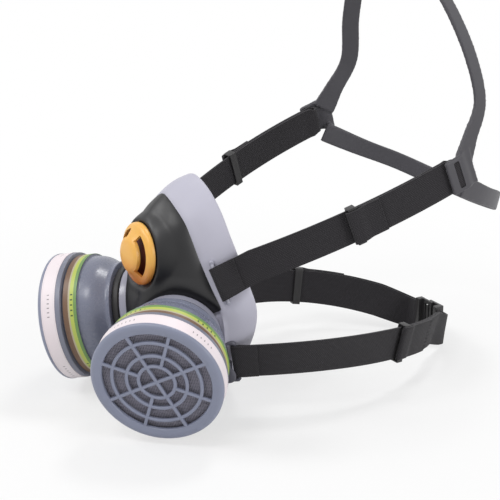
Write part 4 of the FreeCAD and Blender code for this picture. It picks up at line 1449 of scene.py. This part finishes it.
def floor_finish():
    """Pale floor that keeps the shadow near the object and runs out to plain white."""
    recipe = Recipe("floor", (0.95, 0.95, 0.95), 0.9)
    recipe.mottled(scale=3.0, amount=0.01)
    tree = recipe.tree
    reach = tree.nodes.new("ShaderNodeVectorMath")
    reach.operation = "LENGTH"
    recipe.put(reach, 0, recipe.spot)
    fade = tree.nodes.new("ShaderNodeMapRange")
    fade.interpolation_type = "SMOOTHSTEP"
    recipe.put(fade, "Value", reach.outputs["Value"])
    for socket, value in FLOOR_FADE:
        recipe.put(fade, socket, value)
    path = tree.nodes.new("ShaderNodeLightPath")
    share = recipe.maths("MULTIPLY", path.outputs["Is Camera Ray"], fade.outputs["Result"])
    white = tree.nodes.new("ShaderNodeEmission")
    blend = tree.nodes.new("ShaderNodeMixShader")
    tree.links.new(share, blend.inputs[0])
    tree.links.new(recipe.shader.outputs[0], blend.inputs[1])
    tree.links.new(white.outputs[0], blend.inputs[2])
    tree.links.new(blend.outputs[0], tree.nodes["Material Output"].inputs["Surface"])
    return recipe.material


def lamp(name, place, size, power):
    data = bpy.data.lights.new(name, "AREA")
    data.shape = "DISK"
    data.size = size
    data.energy = power
    made = bpy.data.objects.new(name, data)
    bpy.context.scene.collection.objects.link(made)
    made.location = place
    made.rotation_mode = "QUATERNION"
    made.rotation_quaternion = (CAMERA_AIM - Vector(place)).to_track_quat("-Z", "Y")


def make_stage():
    bpy.ops.mesh.primitive_circle_add(vertices=96, radius=4.0, fill_type="NGON",
                                      location=(0, 0.05, CAD_BOX[0].z - 0.5 * MM))
    floor = named("studio_floor")
    bpy.ops.object.transform_apply(location=True, rotation=True, scale=True)
    floor.data.materials.append(floor_finish())
    world = bpy.data.worlds.new("studio")
    world.use_nodes = True
    bpy.context.scene.world = world
    world.node_tree.nodes.remove(world.node_tree.nodes["Background"])
    plain_white(world.node_tree, world.node_tree.nodes["World Output"], WORLD_STRENGTH)
    for values in LAMPS:
        lamp(*values)
    data = bpy.data.cameras.new("camera")
    data.lens = CAMERA_LENS
    camera = bpy.data.objects.new("camera", data)
    bpy.context.scene.collection.objects.link(camera)
    camera.location = CAMERA_PLACE
    camera.rotation_mode = "QUATERNION"
    camera.rotation_quaternion = (CAMERA_AIM - CAMERA_PLACE).to_track_quat("-Z", "Y")
    bpy.context.scene.camera = camera
    bpy.context.scene.view_settings.view_transform = "Standard"


# ---------------------------------------------------------------- operators and panel
class RESPIRATOR_OT_front_shell(bpy.types.Operator):
    """Model the black front shell with its pads and hem"""
    bl_idname = "respirator.front_shell"
    bl_label = "Front shell"

    def execute(self, context):
        make_front_shell()
        return {"FINISHED"}


class RESPIRATOR_OT_face_seal(bpy.types.Operator):
    """Model the soft seal with its rolled rim and lip"""
    bl_idname = "respirator.face_seal"
    bl_label = "Face seal"

    def execute(self, context):
        make_face_seal()
        return {"FINISHED"}


class RESPIRATOR_OT_lower_frame(bpy.types.Operator):
    """Model the frame that carries the lower strap"""
    bl_idname = "respirator.lower_frame"
    bl_label = "Lower frame"

    def execute(self, context):
        make_lower_frame()
        return {"FINISHED"}


class RESPIRATOR_OT_exhale_vent(bpy.types.Operator):
    """Model the exhalation cover and finish its seat and valve"""
    bl_idname = "respirator.exhale_vent"
    bl_label = "Exhalation vent"

    def execute(self, context):
        make_exhale_vent()
        return {"FINISHED"}


class RESPIRATOR_OT_ports(bpy.types.Operator):
    """Finish both inlet ports and their valves"""
    bl_idname = "respirator.ports"
    bl_label = "Inlet ports"

    def execute(self, context):
        make_ports()
        return {"FINISHED"}


class RESPIRATOR_OT_filters(bpy.types.Operator):
    """Model both combined filters"""
    bl_idname = "respirator.filters"
    bl_label = "Filters"

    def execute(self, context):
        make_filters()
        return {"FINISHED"}


class RESPIRATOR_OT_upper_straps(bpy.types.Operator):
    """Model both upper straps with sliders and lugs"""
    bl_idname = "respirator.upper_straps"
    bl_label = "Upper straps"

    def execute(self, context):
        make_upper_straps()
        return {"FINISHED"}


class RESPIRATOR_OT_lower_straps(bpy.types.Operator):
    """Model both lower straps with their sliders"""
    bl_idname = "respirator.lower_straps"
    bl_label = "Lower straps"

    def execute(self, context):
        make_lower_straps()
        return {"FINISHED"}


class RESPIRATOR_OT_crown_yoke(bpy.types.Operator):
    """Model the yoke over the crown and round the back of the head"""
    bl_idname = "respirator.crown_yoke"
    bl_label = "Crown yoke"

    def execute(self, context):
        make_crown_yoke()
        return {"FINISHED"}


class RESPIRATOR_OT_nape_clasp(bpy.types.Operator):
    """Finish both halves of the nape clasp"""
    bl_idname = "respirator.nape_clasp"
    bl_label = "Nape clasp"

    def execute(self, context):
        make_nape_clasp()
        return {"FINISHED"}


class RESPIRATOR_OT_stage(bpy.types.Operator):
    """Set up the floor, lights, world and camera"""
    bl_idname = "respirator.stage"
    bl_label = "Stage"

    def execute(self, context):
        make_stage()
        return {"FINISHED"}


OPERATORS = (RESPIRATOR_OT_stage, RESPIRATOR_OT_front_shell, RESPIRATOR_OT_face_seal,
             RESPIRATOR_OT_lower_frame, RESPIRATOR_OT_exhale_vent, RESPIRATOR_OT_ports,
             RESPIRATOR_OT_filters, RESPIRATOR_OT_upper_straps, RESPIRATOR_OT_lower_straps,
             RESPIRATOR_OT_crown_yoke, RESPIRATOR_OT_nape_clasp)


class RESPIRATOR_PT_panel(bpy.types.Panel):
    """Lists the pieces of the respirator and their settings"""
    bl_idname = "RESPIRATOR_PT_panel"
    bl_label = "Respirator"
    bl_space_type = "VIEW_3D"
    bl_region_type = "UI"
    bl_category = "Respirator"

    def draw(self, context):
        for group in ("mask", "filters", "straps", "finishes"):
            box = self.layout.box()
            box.label(text=group.capitalize())
            values = getattr(context.scene.respirator, group)
            for name in values.__annotations__:
                box.prop(values, name)
        for operator in OPERATORS:
            self.layout.operator(operator.bl_idname)


CLASSES = (MaskSizes, FilterSizes, StrapSizes, Finishes, Respirator) + OPERATORS
CLASSES += (RESPIRATOR_PT_panel,)


def register():
    for item in CLASSES:
        bpy.utils.register_class(item)
    bpy.types.Scene.respirator = PointerProperty(type=Respirator)


def unregister():
    del bpy.types.Scene.respirator
    for item in reversed(CLASSES):
        bpy.utils.unregister_class(item)


def main():
    register()
    bpy.ops.object.select_all(action="DESELECT")
    for operator in OPERATORS:
        group, name = operator.bl_idname.split(".")
        getattr(getattr(bpy.ops, group), name)()


if __name__ == "__main__":
    main()
